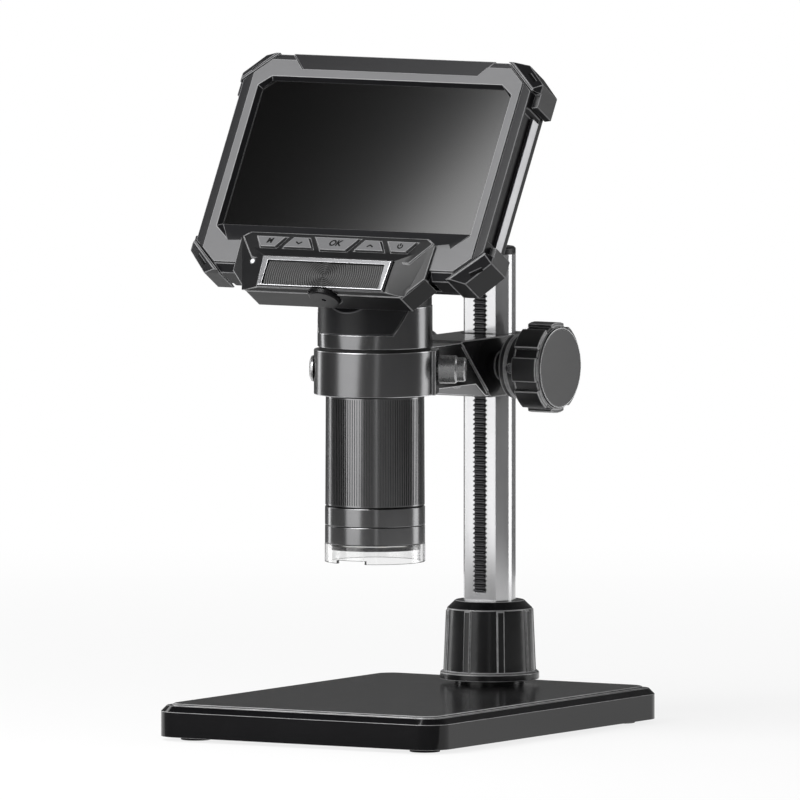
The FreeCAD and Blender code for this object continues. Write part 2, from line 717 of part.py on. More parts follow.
# Rack, with straight flanks of 20 degrees
pressure = math.tan(math.radians(20))
tooth_tip = d.rack_pitch_line + d.tooth_module
tooth_root = d.rack_pitch_line - d.tooth_module * 1.25
half_thick = (tooth_pitch / 2 - d.tooth_backlash) / 2
half_tip = half_thick - d.tooth_module * pressure
half_root = half_thick + d.tooth_module * 1.25 * pressure
rack = body("rack")
drawing = sketch(rack, "YZ_Plane")
rectangle(drawing, -tooth_root, -rack_back, rack_start, rack_start + rack_length)
pad(rack, drawing, d.rack_width, middle=True)
drawing = sketch(rack, "YZ_Plane")
tooth_middle = rack_start + tooth_pitch / 2
deep = tooth_root - 0.2
polygon(drawing, [(-tooth_tip, tooth_middle - half_tip), (-tooth_root, tooth_middle - half_root),
                  (-deep, tooth_middle - half_root), (-deep, tooth_middle + half_root),
                  (-tooth_root, tooth_middle + half_root), (-tooth_tip, tooth_middle + half_tip)])
tooth = pad(rack, drawing, d.rack_width, middle=True)
row_of_teeth = rack.newObject("PartDesign::LinearPattern", "row_of_teeth")
row_of_teeth.Originals = [tooth]
row_of_teeth.Direction = (drawing, ["V_Axis"])
bind(row_of_teeth, "Length", tooth_pitch * (rack_count - 1))
row_of_teeth.Occurrences = rack_count
rack.Tip = row_of_teeth
node(place(rack, 0, d.post_place, 0), "rack")


def pinion_tooth_outline():
    """Give the involute outline of one pinion tooth that points along +Y of the outline."""
    module = d.tooth_module.value
    teeth = d.pinion_teeth.value
    pitch_radius = module * teeth / 2
    base_radius = pitch_radius * math.cos(math.radians(20))
    root = pitch_radius - 1.25 * module
    tip = pitch_radius + module
    half = (math.pi * module / 2 - d.tooth_backlash.value) / (2 * pitch_radius)

    def roll(angle):
        return math.tan(angle) - angle

    right = [(root - 0.3, half + roll(math.radians(20)))]
    steps = 5
    for i in range(steps + 1):
        radius = base_radius + (tip - base_radius) * i / steps
        turn = half + roll(math.radians(20)) - roll(math.acos(base_radius / radius))
        right.append((radius, turn))
    points = right + [(radius, -turn) for radius, turn in reversed(right)]
    return root, [(radius * math.sin(turn), radius * math.cos(turn)) for radius, turn in points]


def pinion_shape():
    """Build the pinion with its shaft, along X, a gap between two teeth facing the rack."""
    root, outline = pinion_tooth_outline()
    half_long = d.pinion_width.value / 2
    shape = Part.makeCylinder(root, 2 * half_long, vector(-half_long, 0, 0), vector(1, 0, 0))
    step = 360 / d.pinion_teeth.value
    wire = Part.makePolygon([vector(-half_long, y, z) for y, z in outline + outline[:1]])
    tooth_solid = Part.Face(wire).extrude(vector(2 * half_long, 0, 0))
    solids = []
    for i in range(int(d.pinion_teeth.value)):
        copy = tooth_solid.copy()
        copy.rotate(vector(), vector(1, 0, 0), 90 + step * (i + 0.5))
        solids.append(copy)
    reach = d.grip_end.value - d.knob_cap_seat.value
    shaft = Part.makeCylinder(d.shaft_radius.value, 2 * reach, vector(-reach, 0, 0), vector(1, 0, 0))
    return shape.fuse(solids + [shaft])


pinion = doc.addObject("Part::Feature", "pinion_shaft")
pinion.Shape = pinion_shape()
pinion_place = d.post_place - d.rack_pitch_line - d.tooth_module * d.pinion_teeth / 2
node(place(pinion, 0, pinion_place, d.pinion_height), "pinion_shaft")

# Carriage, held on the post by a liner and driven by the pinion
post_bore = d.post_radius + d.sliding_fit + d.liner_wall
pinion_room = d.tooth_module * (d.pinion_teeth / 2 + 1) + d.small_gap
pinion_half = d.pinion_width / 2 + d.small_gap
bush_radius = d.shaft_radius + d.sliding_fit + d.bush_wall
joint_normal = vector(0, (d.ring_top - d.joint_low).value, (d.joint_low_place - d.joint_top_place).value)
joint_normal.normalize()
joint_place = (d.joint_top_place + d.joint_low_place) / 2
joint_height = (d.ring_top + d.joint_low) / 2


def pinion_room_tool():
    """Make the room for the pinion."""
    return cylinder(pinion_room, -pinion_half, pinion_place, d.pinion_height, pinion_half * 2, x_way)


def arm_screw(side, larger=0):
    """Make one screw across the joint of the arm and the carriage."""
    thread = as_size(1.5) + larger
    head = as_size(2.6) + larger
    item = turned("arm_screw", [(0, -6.5 - as_size(larger)), (head, -6.5 - as_size(larger)), (head, -4.5),
                                (thread, -4.5), (thread, 4), (0, 4)])
    item.Placement = FreeCAD.Placement(vector(), FreeCAD.Rotation(vector(0, 0, 1), joint_normal))
    return place(item, side * d.arm_screw_side, joint_place, joint_height)


carriage = body("carriage_body")
drawing = sketch(carriage, "YZ_Plane")
carriage_rear = d.post_place + d.carriage_back
polygon(drawing, [(d.joint_top_place + d.seam, d.ring_top + 0.1), (d.joint_low_place + d.seam, d.joint_low),
                  (d.joint_low_place + 1.2, d.carriage_low), (carriage_rear - 3, d.carriage_low),
                  (carriage_rear, d.carriage_low + 3), (carriage_rear, d.carriage_top - 3),
                  (carriage_rear - 3, d.carriage_top), (d.joint_top_place + 1.5, d.carriage_top)])
pad(carriage, drawing, d.carriage_width, middle=True)
boss = cylinder(d.boss_radius, -d.boss_reach, pinion_place, d.pinion_height, d.boss_reach * 2, x_way)
low_side = d.carriage_low - 1
tall = d.carriage_top - d.carriage_low + 2
carriage_block = cut(fuse([carriage, boss]), [
    cylinder(post_bore, 0, d.post_place, low_side, tall),
    cylinder(bush_radius, -(d.boss_reach + 1), pinion_place, d.pinion_height, d.boss_reach * 2 + 2, x_way),
    pinion_room_tool(), arm_screw(-1), arm_screw(1)])
node(carriage_block, "carriage_block")

liner_low = d.carriage_low + 0.4
liner_high = d.carriage_top - 0.4
liner = tube("liner", post_bore, d.post_radius + d.sliding_fit, liner_low, liner_high)
place(liner, 0, d.post_place, 0)
bush_way = cylinder(bush_radius + d.seam, -d.boss_reach, pinion_place, d.pinion_height,
                    d.boss_reach * 2, x_way)
node(cut(liner, [pinion_room_tool(), bush_way]), "guide_liner")

bushes = []
for side in (-1, 1):
    start = pinion_half if side > 0 else -d.boss_reach
    outer = cylinder(bush_radius, start, pinion_place, d.pinion_height, d.boss_reach - pinion_half, x_way)
    bore = cylinder(d.shaft_radius + d.sliding_fit, start, pinion_place, d.pinion_height,
                    d.boss_reach - pinion_half, x_way)
    bushes.append(cut(outer, [bore]))
node(fuse(bushes), "shaft_bushes")
node(fuse([arm_screw(-1), arm_screw(1)]), "arm_screws")


# Holder arm with its ring
def radial(label, points, turn):
    """Make a round piece that points out of the tube axis at an angle from the side."""
    item = turned(label, points)
    angle = math.radians(turn)
    way = vector(math.cos(angle), math.sin(angle), 0)
    item.Placement = FreeCAD.Placement(vector(), FreeCAD.Rotation(vector(0, 0, 1), way))
    return place(item, 0, d.tube_place, d.clamp_height)


ring_bore = d.spigot_radius + d.sliding_fit
ring_height = d.ring_top - d.ring_low
clamp_angle = d.clamp_turn.value
arm = body("arm_body")
drawing = sketch(arm, "YZ_Plane")
polygon(drawing, [(d.tube_place, d.arm_low), (d.joint_low_place - d.arm_haunch - 6.2, d.arm_low),
                  (d.joint_low_place - d.arm_haunch, d.joint_low), (d.joint_low_place, d.joint_low),
                  (d.joint_top_place, d.ring_top), (d.tube_place, d.ring_top)])
pad(arm, drawing, d.arm_width, middle=True)
lug = primitive_box(d.ring_radius - 6, d.ring_radius + 0.5, -5.6, 5.6, d.ring_low, d.ring_top)
lug.Placement = FreeCAD.Placement(vector(), FreeCAD.Rotation(vector(0, 0, 1), clamp_angle))
lug_turn = math.radians(clamp_angle)
lug_in = d.ring_radius - 6
place(lug, lug_in * math.cos(lug_turn) + 5.6 * math.sin(lug_turn),
      d.tube_place + lug_in * math.sin(lug_turn) - 5.6 * math.cos(lug_turn), d.ring_low)
ring = cylinder(d.ring_radius, 0, d.tube_place, d.ring_low, ring_height)
thread_way = [(0, d.spigot_radius - 3), (d.clamp_thread_radius + d.sliding_fit, d.spigot_radius - 3),
              (d.clamp_thread_radius + d.sliding_fit, d.clamp_tip_end), (0, d.clamp_tip_end)]
holder_arm = cut(fuse([arm, ring, lug]), [
    cylinder(ring_bore, 0, d.tube_place, d.ring_low - 1, ring_height + 2),
    radial("thread_way", thread_way, clamp_angle), radial("thread_way", thread_way, clamp_angle + 180),
    arm_screw(-1), arm_screw(1)])
node(holder_arm, "holder_arm")

screw_tip = ring_bore + 0.05
thumbscrew = radial("clamp_screw", [
    (0, screw_tip), (d.clamp_thread_radius, screw_tip), (d.clamp_thread_radius, d.clamp_head_start),
    (d.clamp_head_radius - 0.5, d.clamp_head_start), (d.clamp_head_radius, d.clamp_head_start + 0.5),
    (d.clamp_head_radius, d.clamp_head_end - 0.5), (d.clamp_head_radius - 0.5, d.clamp_head_end),
    (d.clamp_tip_radius, d.clamp_head_end), (d.clamp_tip_radius, d.clamp_tip_end - 0.4),
    (d.clamp_tip_radius - 0.4, d.clamp_tip_end), (0, d.clamp_tip_end)], clamp_angle)
node(thumbscrew, "clamp_screw")
stop_screw = radial("ring_screw", [
    (0, screw_tip), (d.clamp_thread_radius, screw_tip), (d.clamp_thread_radius, d.ring_radius + 0.05),
    (4.45, d.ring_radius + 0.05), (4.1, d.ring_radius + 0.9), (3, d.ring_radius + 1.3),
    (0, d.ring_radius + 1.3)], clamp_angle + 180)
node(stop_screw, "ring_screw")


# Knobs
pad_half_turn = math.radians(15.5)
seat = d.grip_end - d.knob_cap_seat


def along_shaft(item, side):
    """Lay a piece that was turned about Z along the shaft, outwards on one side."""
    item.Placement = FreeCAD.Placement(vector(), FreeCAD.Rotation(vector(0, 0, 1), vector(side, 0, 0)))
    return place(item, 0, pinion_place, d.pinion_height)


def knob(side):
    """Make one focus knob."""
    groove = (d.hub_start + d.grip_start) / 2 - 0.9
    item = turned("knob_body", [
        (d.shaft_radius, d.hub_start), (d.hub_radius - 1.2, d.hub_start), (d.hub_radius, d.hub_start + 1.2),
        (d.hub_radius, groove), (d.hub_radius - 0.6, groove + 0.3), (d.hub_radius - 0.6, groove + 0.7),
        (d.hub_radius, groove + 1), (d.hub_radius, d.grip_start), (d.grip_core_radius - 1, d.grip_start),
        (d.grip_core_radius, d.grip_start + 1), (d.grip_core_radius, d.grip_end - 0.8),
        (d.grip_core_radius - 0.5, d.grip_end), (d.knob_cap_radius + d.seam, d.grip_end),
        (d.knob_cap_radius + d.seam, seat), (d.shaft_radius, seat)])
    drawing = sketch(item, "XY_Plane", d.grip_start + 0.6)
    arc = [(math.cos(pad_half_turn * k), math.sin(pad_half_turn * k)) for k in (-1, -0.5, 0, 0.5, 1)]
    inner = d.knob_cap_radius + 0.25
    side_half = d.grip_pad_width / 2
    polygon(drawing, [(inner, -side_half)] + [(d.grip_radius * x, d.grip_radius * y) for x, y in arc]
            + [(inner, side_half)])
    grip = pad(item, drawing, d.grip_end - d.grip_start - 1.2)
    pads = item.newObject("PartDesign::PolarPattern", "pads")
    pads.Originals = [grip]
    pads.Axis = (drawing, ["N_Axis"])
    pads.Angle = 360
    pads.Occurrences = 8
    item.Tip = pads
    hole = cylinder(1.5, 0, 0, groove + 2.6, d.hub_radius + 1, (vector(1, 0, 0), 90))
    return along_shaft(cut(item, [hole]), side)


def knob_cap(side):
    """Make the flat cap at the end of a knob."""
    top = d.grip_end + d.knob_cap_proud
    return along_shaft(turned("knob_cap_body", [
        (0, seat), (d.knob_cap_radius, seat), (d.knob_cap_radius, top - 0.4), (d.knob_cap_radius - 0.4, top),
        (0, top)]), side)


def grub_screw(side):
    """Make the screw that holds a knob on the shaft."""
    groove = (d.hub_start + d.grip_start) / 2 - 0.9
    long = d.hub_radius - d.shaft_radius - 0.4
    item = cylinder(1.5, 0, 0, 0, long)
    item.Placement = FreeCAD.Placement(vector(), FreeCAD.Rotation(vector(1, 0, 0), 90))
    return place(item, (groove + 2.6) * side, pinion_place - d.shaft_radius, d.pinion_height)


node(knob(1), "knob_right")
node(knob(-1), "knob_left")
node(fuse([knob_cap(1), knob_cap(-1)]), "knob_caps")
node(fuse([grub_screw(-1), grub_screw(1)]), "knob_grub_screws")

# Neck. The two planes lie along the screen
tilt = math.radians(d.head_tilt.value)


def behind_plane(depth, label="behind"):
    """Make a large block behind a plane along the screen, at a depth before it (minus is behind)."""
    block = primitive_box(-60, 60, 0, 80, -90, 60)
    carrier = fuse([block, primitive_box(-60, 60, 79, 80, -90, 60)])
    on_head(carrier)
    shift = -as_size(depth)
    bind(carrier, "Placement.Base.y", d.head_place + shift * math.cos(tilt))
    bind(carrier, "Placement.Base.z", d.head_height - shift * math.sin(tilt))
    return carrier


sleeve_ring = tube("sleeve_ring", d.sleeve_radius, d.spigot_bore, d.sleeve_low, d.sleeve_top)
spigot = tube("spigot", d.spigot_radius, d.spigot_bore, d.ring_low + 0.3, d.sleeve_low)
front_blank = cylinder(d.sleeve_radius + 1, 0, d.tube_place, d.sleeve_step, 30)
front_room = cut(front_blank, [behind_plane(d.neck_cut)])
place(sleeve_ring, 0, d.tube_place, 0)
place(spigot, 0, d.tube_place, 0)
node(cut(fuse([sleeve_ring, spigot]), [front_room]), "neck_sleeve")
washer = tube("washer", d.neck_radius - 0.4, d.spigot_radius + d.sliding_fit, d.ring_top, d.sleeve_low)
node(place(washer, 0, d.tube_place, 0), "swivel_washer")

neck_blank = cylinder(d.neck_radius, 0, d.tube_place, d.sleeve_step, 62)
neck_rear = primitive_box(-60, 60, 0, 60, 0, 90)
neck_rear.Placement = FreeCAD.Placement(vector(), FreeCAD.Rotation(vector(1, 0, 0), d.neck_rear_lean.value))
place(neck_rear, -60, d.tube_place + d.neck_radius, d.neck_rear_low)
neck_seat = cylinder(d.neck_radius + 1, 0, d.tube_place, d.sleeve_step - 1, d.sleeve_top - d.sleeve_step + 1)
neck = cut(common(neck_blank, behind_plane(d.shell_back)), [
    neck_rear, common(neck_seat, behind_plane(d.neck_cut)),
    cylinder(d.neck_bore, 0, d.tube_place, d.sleeve_step - 1, d.neck_bore_length + 1)])
node(neck, "neck_adapter")

# Microscope tube
inner_bore = d.inner_tube_radius - d.inner_tube_wall
inner_tube = tube("inner", d.inner_tube_radius, inner_bore, d.front_ring_low + 1, d.inner_tube_top)
node(place(inner_tube, 0, d.tube_place, 0), "inner_tube")
focus_bore = d.inner_tube_radius + d.small_gap
focus_low = d.front_ring_top + 0.25
focus_ring = turned("focus_body", [
    (focus_bore, focus_low), (d.focus_low_radius, focus_low), (d.focus_top_radius, d.focus_top),
    (focus_bore, d.focus_top)])
node(place(focus_ring, 0, d.tube_place, 0), "focus_ring")
for label, low, high in (("front_ring_upper", d.front_ring_middle, d.front_ring_top),
                         ("front_ring_lower", d.front_ring_low, d.front_ring_middle)):
    item = turned(label, [
        (d.inner_tube_radius, low), (d.front_ring_radius - 0.2, low), (d.front_ring_radius, low + 0.2),
        (d.front_ring_radius, high - 0.2), (d.front_ring_radius - 0.2, high), (d.inner_tube_radius, high)])
    node(place(item, 0, d.tube_place, 0), label)

hood = tube("hood", d.hood_radius, d.hood_radius - d.hood_wall, d.hood_low, d.front_ring_low)
hood_notch = sketch(hood, "XZ_Plane", d.hood_radius + 1)
notch_half = 5.2
rectangle(hood_notch, -notch_half, notch_half, d.hood_low - 1, d.hood_low + 1.1)
first_notch = pocket(hood, hood_notch, d.hood_wall * 4)
notches = hood.newObject("PartDesign::PolarPattern", "notches")
notches.Originals = [first_notch]
notches.Axis = (hood_notch, ["V_Axis"])
notches.Angle = 360
notches.Occurrences = 5
hood.Tip = notches
node(place(hood, 0, d.tube_place, 0), "lamp_hood")
mask_radius = d.hood_radius - d.hood_wall - 0.1
mask_low = d.front_ring_low - 1
lamp_board_low = d.front_ring_low + 1
lamp_board = tube("lamp_plate", inner_bore - d.seam, d.lens_radius - 1, lamp_board_low,
                  lamp_board_low + d.board_thickness)
node(place(lamp_board, 0, d.tube_place, 0), "lamp_board")
lamp_mask = turned("lamp_mask", [
    (inner_bore - d.seam, d.front_ring_low + 0.9), (inner_bore - d.seam, d.front_ring_low - 0.6),
    (mask_radius, d.front_ring_low - 0.6), (mask_radius, mask_low),
    (inner_bore - 0.8, mask_low), (inner_bore - 0.8, d.front_ring_low + 0.9)])
node(place(lamp_mask, 0, d.tube_place, 0), "lamp_mask")
lamps = []
for i in range(int(d.lamp_count.value)):
    turn = 2 * math.pi * i / d.lamp_count.value
    lamps.append(cylinder(1.5, d.lamp_circle * math.cos(turn), d.tube_place + d.lamp_circle * math.sin(turn),
                          d.front_ring_low - 0.6, 1.6))
node(fuse(lamps), "lamps")

cell_low = d.lens_height - d.lens_cell_length / 2
cell_high = d.lens_height + d.lens_cell_length / 2
cell_radius = inner_bore - d.small_gap
lens_seat = d.lens_radius - 1.5
lens_edge = d.lens_radius - d.sliding_fit
lens_cell = turned("cell", [
    (d.lens_radius, cell_low), (cell_radius, cell_low), (cell_radius, cell_high), (d.lens_radius, cell_high),
    (d.lens_radius, cell_high - 3.2), (lens_seat, cell_high - 3.2), (lens_seat, cell_low + 4.2),
    (d.lens_radius, cell_low + 4.2)])
node(place(lens_cell, 0, d.tube_place, 0), "lens_cell")


def lens(low, thickness, bulge):
    """Make a round lens with both faces a little crowned."""
    item = turned("lens", [
        (0, low - bulge), (d.lens_radius / 2, low - bulge * 0.6), (lens_seat, low), (lens_edge, low),
        (lens_edge, low + thickness), (lens_seat, low + thickness),
        (d.lens_radius / 2, low + thickness + bulge * 0.6), (0, low + thickness + bulge)])
    return place(item, 0, d.tube_place, 0)


node(fuse([lens(cell_low + 1.6, 2.6, as_size(0.6)), lens(cell_high - 3.2, 2, as_size(0.4))]), "lenses")
sensor_board_low = d.inner_tube_top - 9
sensor_board = tube("sensor_plate", inner_bore - d.seam, None, sensor_board_low,
                    sensor_board_low + d.board_thickness)
node(place(sensor_board, 0, d.tube_place, 0), "sensor_board")
node(primitive_box(-4, 4, d.tube_place - 4, d.tube_place + 4, sensor_board_low - 1.4, sensor_board_low),
     "image_sensor")


# Head covers
def cut_corners(half, low, high, low_x, low_z, high_x, high_z):
    """Give an outline with its four corners cut."""
    return [(-(half - low_x), low), (half - low_x, low), (half, low + low_z), (half, high - high_z),
            (half - high_x, high), (-(half - high_x), high), (-half, high - high_z), (-half, low + low_z)]


def mirrored(points):
    """Mirror an outline across the middle."""
    return [(-as_size(x), z) for x, z in reversed(points)]


screen_half = d.screen_width / 2
screen_up = d.screen_height / 2
bezel_outline = cut_corners(d.bezel_half, d.bezel_low, d.bezel_top, d.bezel_corner_x, d.bezel_corner_z,
                            d.bezel_corner_x, d.bezel_corner_z)
glass_half = screen_half + d.glass_margin
glass_up = screen_up + d.glass_margin
bezel = slab("bezel_body", bezel_outline, d.bezel_back, d.bezel_front)
opening = cut_corners(screen_half, -screen_up, screen_up, 0.02, 0.02, d.opening_cut, d.opening_cut)
slab_hole(bezel, opening, d.bezel_back, d.bezel_front)
slab_hole(bezel, box_points(glass_half + d.seam, -(glass_up + d.seam), glass_up + d.seam), d.bezel_back, 0)
slope(bezel, opening, 0,
      cut_corners(screen_half + d.bevel_side, -(screen_up + d.bevel_low), screen_up + d.bevel_side,
                  d.bevel_corner + 1, d.bevel_corner, d.bevel_corner, d.bevel_corner - 1),
      d.bezel_front, cut=True)
strip_slope = (d.notch_outer_half - d.notch_half) / (d.frame_top - d.notch_low)


def strip_outline(grow=0, over=0):
    """Give the outline of the top strip, or of its room, which runs on over the top of the frame."""
    low_half = d.notch_half + as_size(grow) * 1.5
    high_half = d.notch_outer_half + strip_slope * over + as_size(grow) * 1.5
    low, high = d.notch_low - grow, d.frame_top + over
    return [(-low_half, low), (low_half, low), (high_half, high), (-high_half, high)]


strip_back = -0.5
slab_hole(bezel, strip_outline(d.seam, 1), strip_back, d.bezel_front)
slab_hole(bezel, box_points(d.keypad_half, d.keypad_low, d.keypad_high), d.bezel_back, d.bezel_front)
node(on_head(bezel), "front_bezel")

# The guards fill the corners that the frame leaves
corner_cuts = (d.corner_cut_low_x, d.corner_cut_low_z, d.corner_cut_high_x, d.corner_cut_high_z)
frame_outline = cut_corners(d.frame_half, d.frame_low, d.frame_top, *corner_cuts)
front_outline = cut_corners(d.frame_half - 0.3, d.frame_low_front, d.frame_top - 0.5,
                            d.corner_cut_low_x - 2.4, d.corner_cut_low_z - 2.1,
                            d.corner_cut_high_x - 0.6, d.corner_cut_high_z - 0.3)
frame = slab("frame_body", frame_outline, d.frame_back, d.frame_bevel_back)
slope(frame, frame_outline, d.frame_bevel_back, front_outline, d.frame_front)
inner_outline = cut_corners(d.bezel_half + d.seam, d.bezel_low - d.seam, d.bezel_top + d.seam,
                            d.bezel_corner_x, d.bezel_corner_z, d.bezel_corner_x, d.bezel_corner_z)
slab_hole(frame, inner_outline, d.bezel_back, d.bezel_front)
slab_hole(frame, cut_corners(d.bezel_half - 0.4, d.bezel_low + 1, d.bezel_top - 0.6, 6, 5.4, 6, 5.4),
          d.frame_back, d.bezel_back)
slab_hole(frame, strip_outline(d.seam, 1), strip_back, d.bezel_front)
recess_floor = d.frame_half - d.side_recess
for side in (-1, 1):
    near, far = recess_floor * side, (d.frame_half + 1) * side
    recess = [(near, d.side_recess_low), (far, d.side_recess_low), (far, d.side_recess_top + 1.2),
              (near, d.side_recess_top - 1.2)]
    slab_hole(frame, recess if side > 0 else list(reversed(recess)), d.frame_back, d.side_recess_front)
slab_hole(frame, box_points(d.console_half + 0.2, d.frame_low - 1, d.bezel_low - 0.2), d.frame_back,
          d.frame_front)
port_left, port_right = 31.2, 36
port_back = -(d.glass_thickness + d.module_depth + d.board_thickness + 3.2)
port_front = port_back + 3.2
port_hole = primitive_box(port_left - 0.15, port_right + 0.15, -(port_front + 0.15), -(port_back - 0.15), 20,
                          d.frame_top + 1)
node(on_head(cut(frame, [port_hole])), "frame")

top_strip = slab("strip_body", strip_outline(), strip_back, d.frame_front - 0.2)
node(on_head(top_strip), "top_strip")

rails = []
for side in (-1, 1):
    near, far = recess_floor * side, (recess_floor + d.rail_proud) * side
    rail = [(near, d.side_recess_low), (far, d.side_recess_low), (far, d.side_recess_top - 1.2),
            (near, d.side_recess_top - 1.2)]
    rails.append(slab("rail", rail if side > 0 else list(reversed(rail)), d.frame_back, d.rail_front))
node(on_head(fuse(rails)), "side_rails")

shell_low = d.console_low + 3.6
shell_half = d.frame_half - 0.4
shell_outline = cut_corners(shell_half, d.frame_low + 0.4, d.frame_top - 0.4, *corner_cuts)
shell_small = cut_corners(d.frame_half - d.shell_bevel, d.frame_low + d.shell_bevel,
                          d.frame_top - d.shell_bevel, *corner_cuts)
shell_room = cut_corners(shell_half - d.shell_wall, d.frame_low + 2, d.frame_top - 2, *corner_cuts)
back_shell = slab("shell_body", shell_outline, d.shell_back + d.shell_bevel, d.frame_back)
slope(back_shell, shell_outline, d.shell_back + d.shell_bevel, shell_small, d.shell_back)
chin = sketch(back_shell, "XZ_Plane", d.frame_back)
polygon(chin, [(-24, shell_low), (24, shell_low), (28, d.frame_low + 2), (-28, d.frame_low + 2)])
pad(back_shell, chin, d.frame_back - d.shell_back, backwards=True)
slab_hole(back_shell, shell_room, d.shell_back + d.shell_wall, d.frame_back)
screw_x = d.bezel_half - 11.3
screw_heights = (d.bezel_low + 9, d.bezel_top - 6.5)
screw_places = [(x, z) for x in (-screw_x, screw_x) for z in screw_heights]


def head_round(radius, x, z, back, front):
    """Make a cylinder along the head's depth, before the screen plane."""
    item = cylinder(radius, x, -as_size(back), z, as_size(front) - back, (vector(1, 0, 0), 90))
    return item


back_holes = [head_round(1.55, x, z, d.shell_back - 1, d.frame_back + 1) for x, z in screw_places]
node(on_head(cut(back_shell, back_holes)), "back_shell")
screw_end = -(d.glass_thickness + d.module_depth + 0.3)
back_screws = []
for x, z in screw_places:
    back_screws.append(head_round(1.5, x, z, d.shell_back + 0.1, screw_end))
node(on_head(fuse(back_screws)), "back_screws")

# Corner guards
guard_pieces = []
high_corner = d.frame_top - d.corner_cut_high_z
low_corner = d.frame_low + d.corner_cut_low_z
bar_high = [(d.frame_half - d.corner_cut_high_x, d.frame_top), (d.frame_half, high_corner),
            (d.guard_half, high_corner), (d.guard_half, d.guard_top - d.guard_cut_high_z),
            (d.guard_half - d.guard_cut_high_x, d.guard_top),
            (d.frame_half - d.corner_cut_high_x + 0.5, d.guard_top)]
bar_low = [(d.frame_half, low_corner), (d.frame_half - d.corner_cut_low_x, d.frame_low),
           (d.frame_half - d.corner_cut_low_x + 0.5, d.guard_low),
           (d.guard_half - d.guard_cut_low_x, d.guard_low), (d.guard_half, d.guard_low + d.guard_cut_low_z),
           (d.guard_half, low_corner)]


def guard_face(bar):
    """Give the narrow front outline of a guard, drawn in towards the frame's corner cut."""
    first, second = bar[0], bar[1]
    near = [first, second, second, second, first, first]
    share = d.guard_bevel_share
    return [(a + (x - a) * share, b + (z - b) * share) for (x, z), (a, b) in zip(bar, near)]


guard_inside = d.frame_half + 0.02
wrap_end_high = d.frame_top - d.guard_wrap_high
wrap_end_low = d.frame_low + d.guard_wrap_low
wrap_high = [(guard_inside, wrap_end_high), (d.guard_half, wrap_end_high + 0.4),
             (d.guard_half, high_corner), (guard_inside, high_corner)]
wrap_low = [(guard_inside, low_corner), (d.guard_half, low_corner),
            (d.guard_half, wrap_end_low - 0.4), (guard_inside, wrap_end_low)]
for bar, wrap in ((bar_high, wrap_high), (bar_low, wrap_low)):
    for side in (-1, 1):
        outlines = [bar, wrap] if side > 0 else [mirrored(bar), mirrored(wrap)]
        fronts = [guard_face(bar)] if side > 0 else [mirrored(guard_face(bar))]
        guard = slab("guard", outlines[0], d.guard_back, d.guard_bevel_back)
        slope(guard, outlines[0], d.guard_bevel_back, fronts[0], d.guard_front)
        drawing = sketch(guard, "XZ_Plane", d.guard_wrap_front)
        polygon(drawing, outlines[1])
        pad(guard, drawing, d.guard_wrap_front - d.guard_back, backwards=True)
        guard_pieces.append(guard)
node(on_head(fuse(guard_pieces)), "corner_guards")

# What the head holds
glass = slab("glass_body", box_points(glass_half, -glass_up, glass_up), -d.glass_thickness, 0)
node(on_head(glass), "screen_glass")
module_front = -d.glass_thickness
module_back = module_front - d.module_depth
module_up = glass_up - 0.5
module = slab("module_body", box_points(glass_half - 0.5, -module_up, module_up), module_back, module_front)
node(on_head(module), "display_module")
board_back = module_back - d.board_thickness
board_up = screen_up - 0.45
main_board = slab("board_body", box_points(36, -board_up, board_up), board_back, module_back)
node(on_head(main_board), "main_board")
battery = slab("battery_body", box_points(25, -(board_up - 10), board_up - 4), d.shell_back + d.shell_wall,
               board_back)
node(on_head(battery), "battery")
port_low, port_high = d.frame_top - 10.5, d.frame_top - 0.9
usb_outline = [(port_left, port_low), (port_right, port_low), (port_right, port_high), (port_left, port_high)]
usb = slab("usb_body", usb_outline, port_back, port_front)

# Console below the screen
console_shoulder = d.frame_low - 0.9
console_corner = d.console_top - 2.4
low_half = d.console_low_half
high_half = d.console_half - 3.2
shoulder_half = d.console_half - 0.4
console_outline = [(-low_half, d.console_low), (low_half, d.console_low), (shoulder_half, console_shoulder),
                   (d.console_half, console_corner), (high_half, d.console_top), (-high_half, d.console_top),
                   (-d.console_half, console_corner), (-shoulder_half, console_shoulder)]
bridge_half = d.console_half - 0.6
bridge_low = d.frame_low - 0.6
lower_outline = [(-low_half, d.console_low), (low_half, d.console_low), (bridge_half, bridge_low),
                 (-bridge_half, bridge_low)]
plateau = [(-d.decor_half_low, d.decor_low), (d.decor_half_low, d.decor_low), (d.decor_half_top, d.decor_top),
           (-d.decor_half_top, d.decor_top)]
console = slab("console_body", console_outline, d.bezel_front, d.bezel_front + 1)
bridge = sketch(console, "XZ_Plane", d.bezel_front)
rectangle(bridge, -bridge_half, bridge_half, bridge_low, d.bezel_low - 0.3)
pad(console, bridge, d.bezel_front + 0.5, backwards=True)
lower = sketch(console, "XZ_Plane", d.bezel_front)
polygon(lower, lower_outline)
pad(console, lower, d.bezel_front - d.console_back, backwards=True)
foot_top = d.console_top - 2.8
foot_half = low_half + 1.8
foot_low = d.console_low + 0.2
foot_outline = [(-foot_half, foot_low), (foot_half, foot_low), (shoulder_half, foot_top),
                (-shoulder_half, foot_top)]
slope(console, foot_outline, d.bezel_front + 1, plateau, d.plateau_front)
panel_low_front = d.plateau_front - 0.5
panel_foot = d.decor_top - 0.3
panel_outline = [(-d.panel_low_half, panel_foot), (d.panel_low_half, panel_foot),
                 (d.console_half - 0.8, console_corner + 0.5), (high_half - 0.4, d.console_top),
                 (-(high_half - 0.4), d.console_top), (-(d.console_half - 0.8), console_corner + 0.5)]
panel_side = body("panel_side")
panel_rise = sketch(panel_side, "YZ_Plane")
polygon(panel_rise, [(-d.bezel_front, panel_foot), (-panel_low_front, panel_foot),
                     (-(d.bezel_front + 1), d.console_top), (-d.bezel_front, d.console_top)])
pad(panel_side, panel_rise, d.console_half * 2, middle=True)
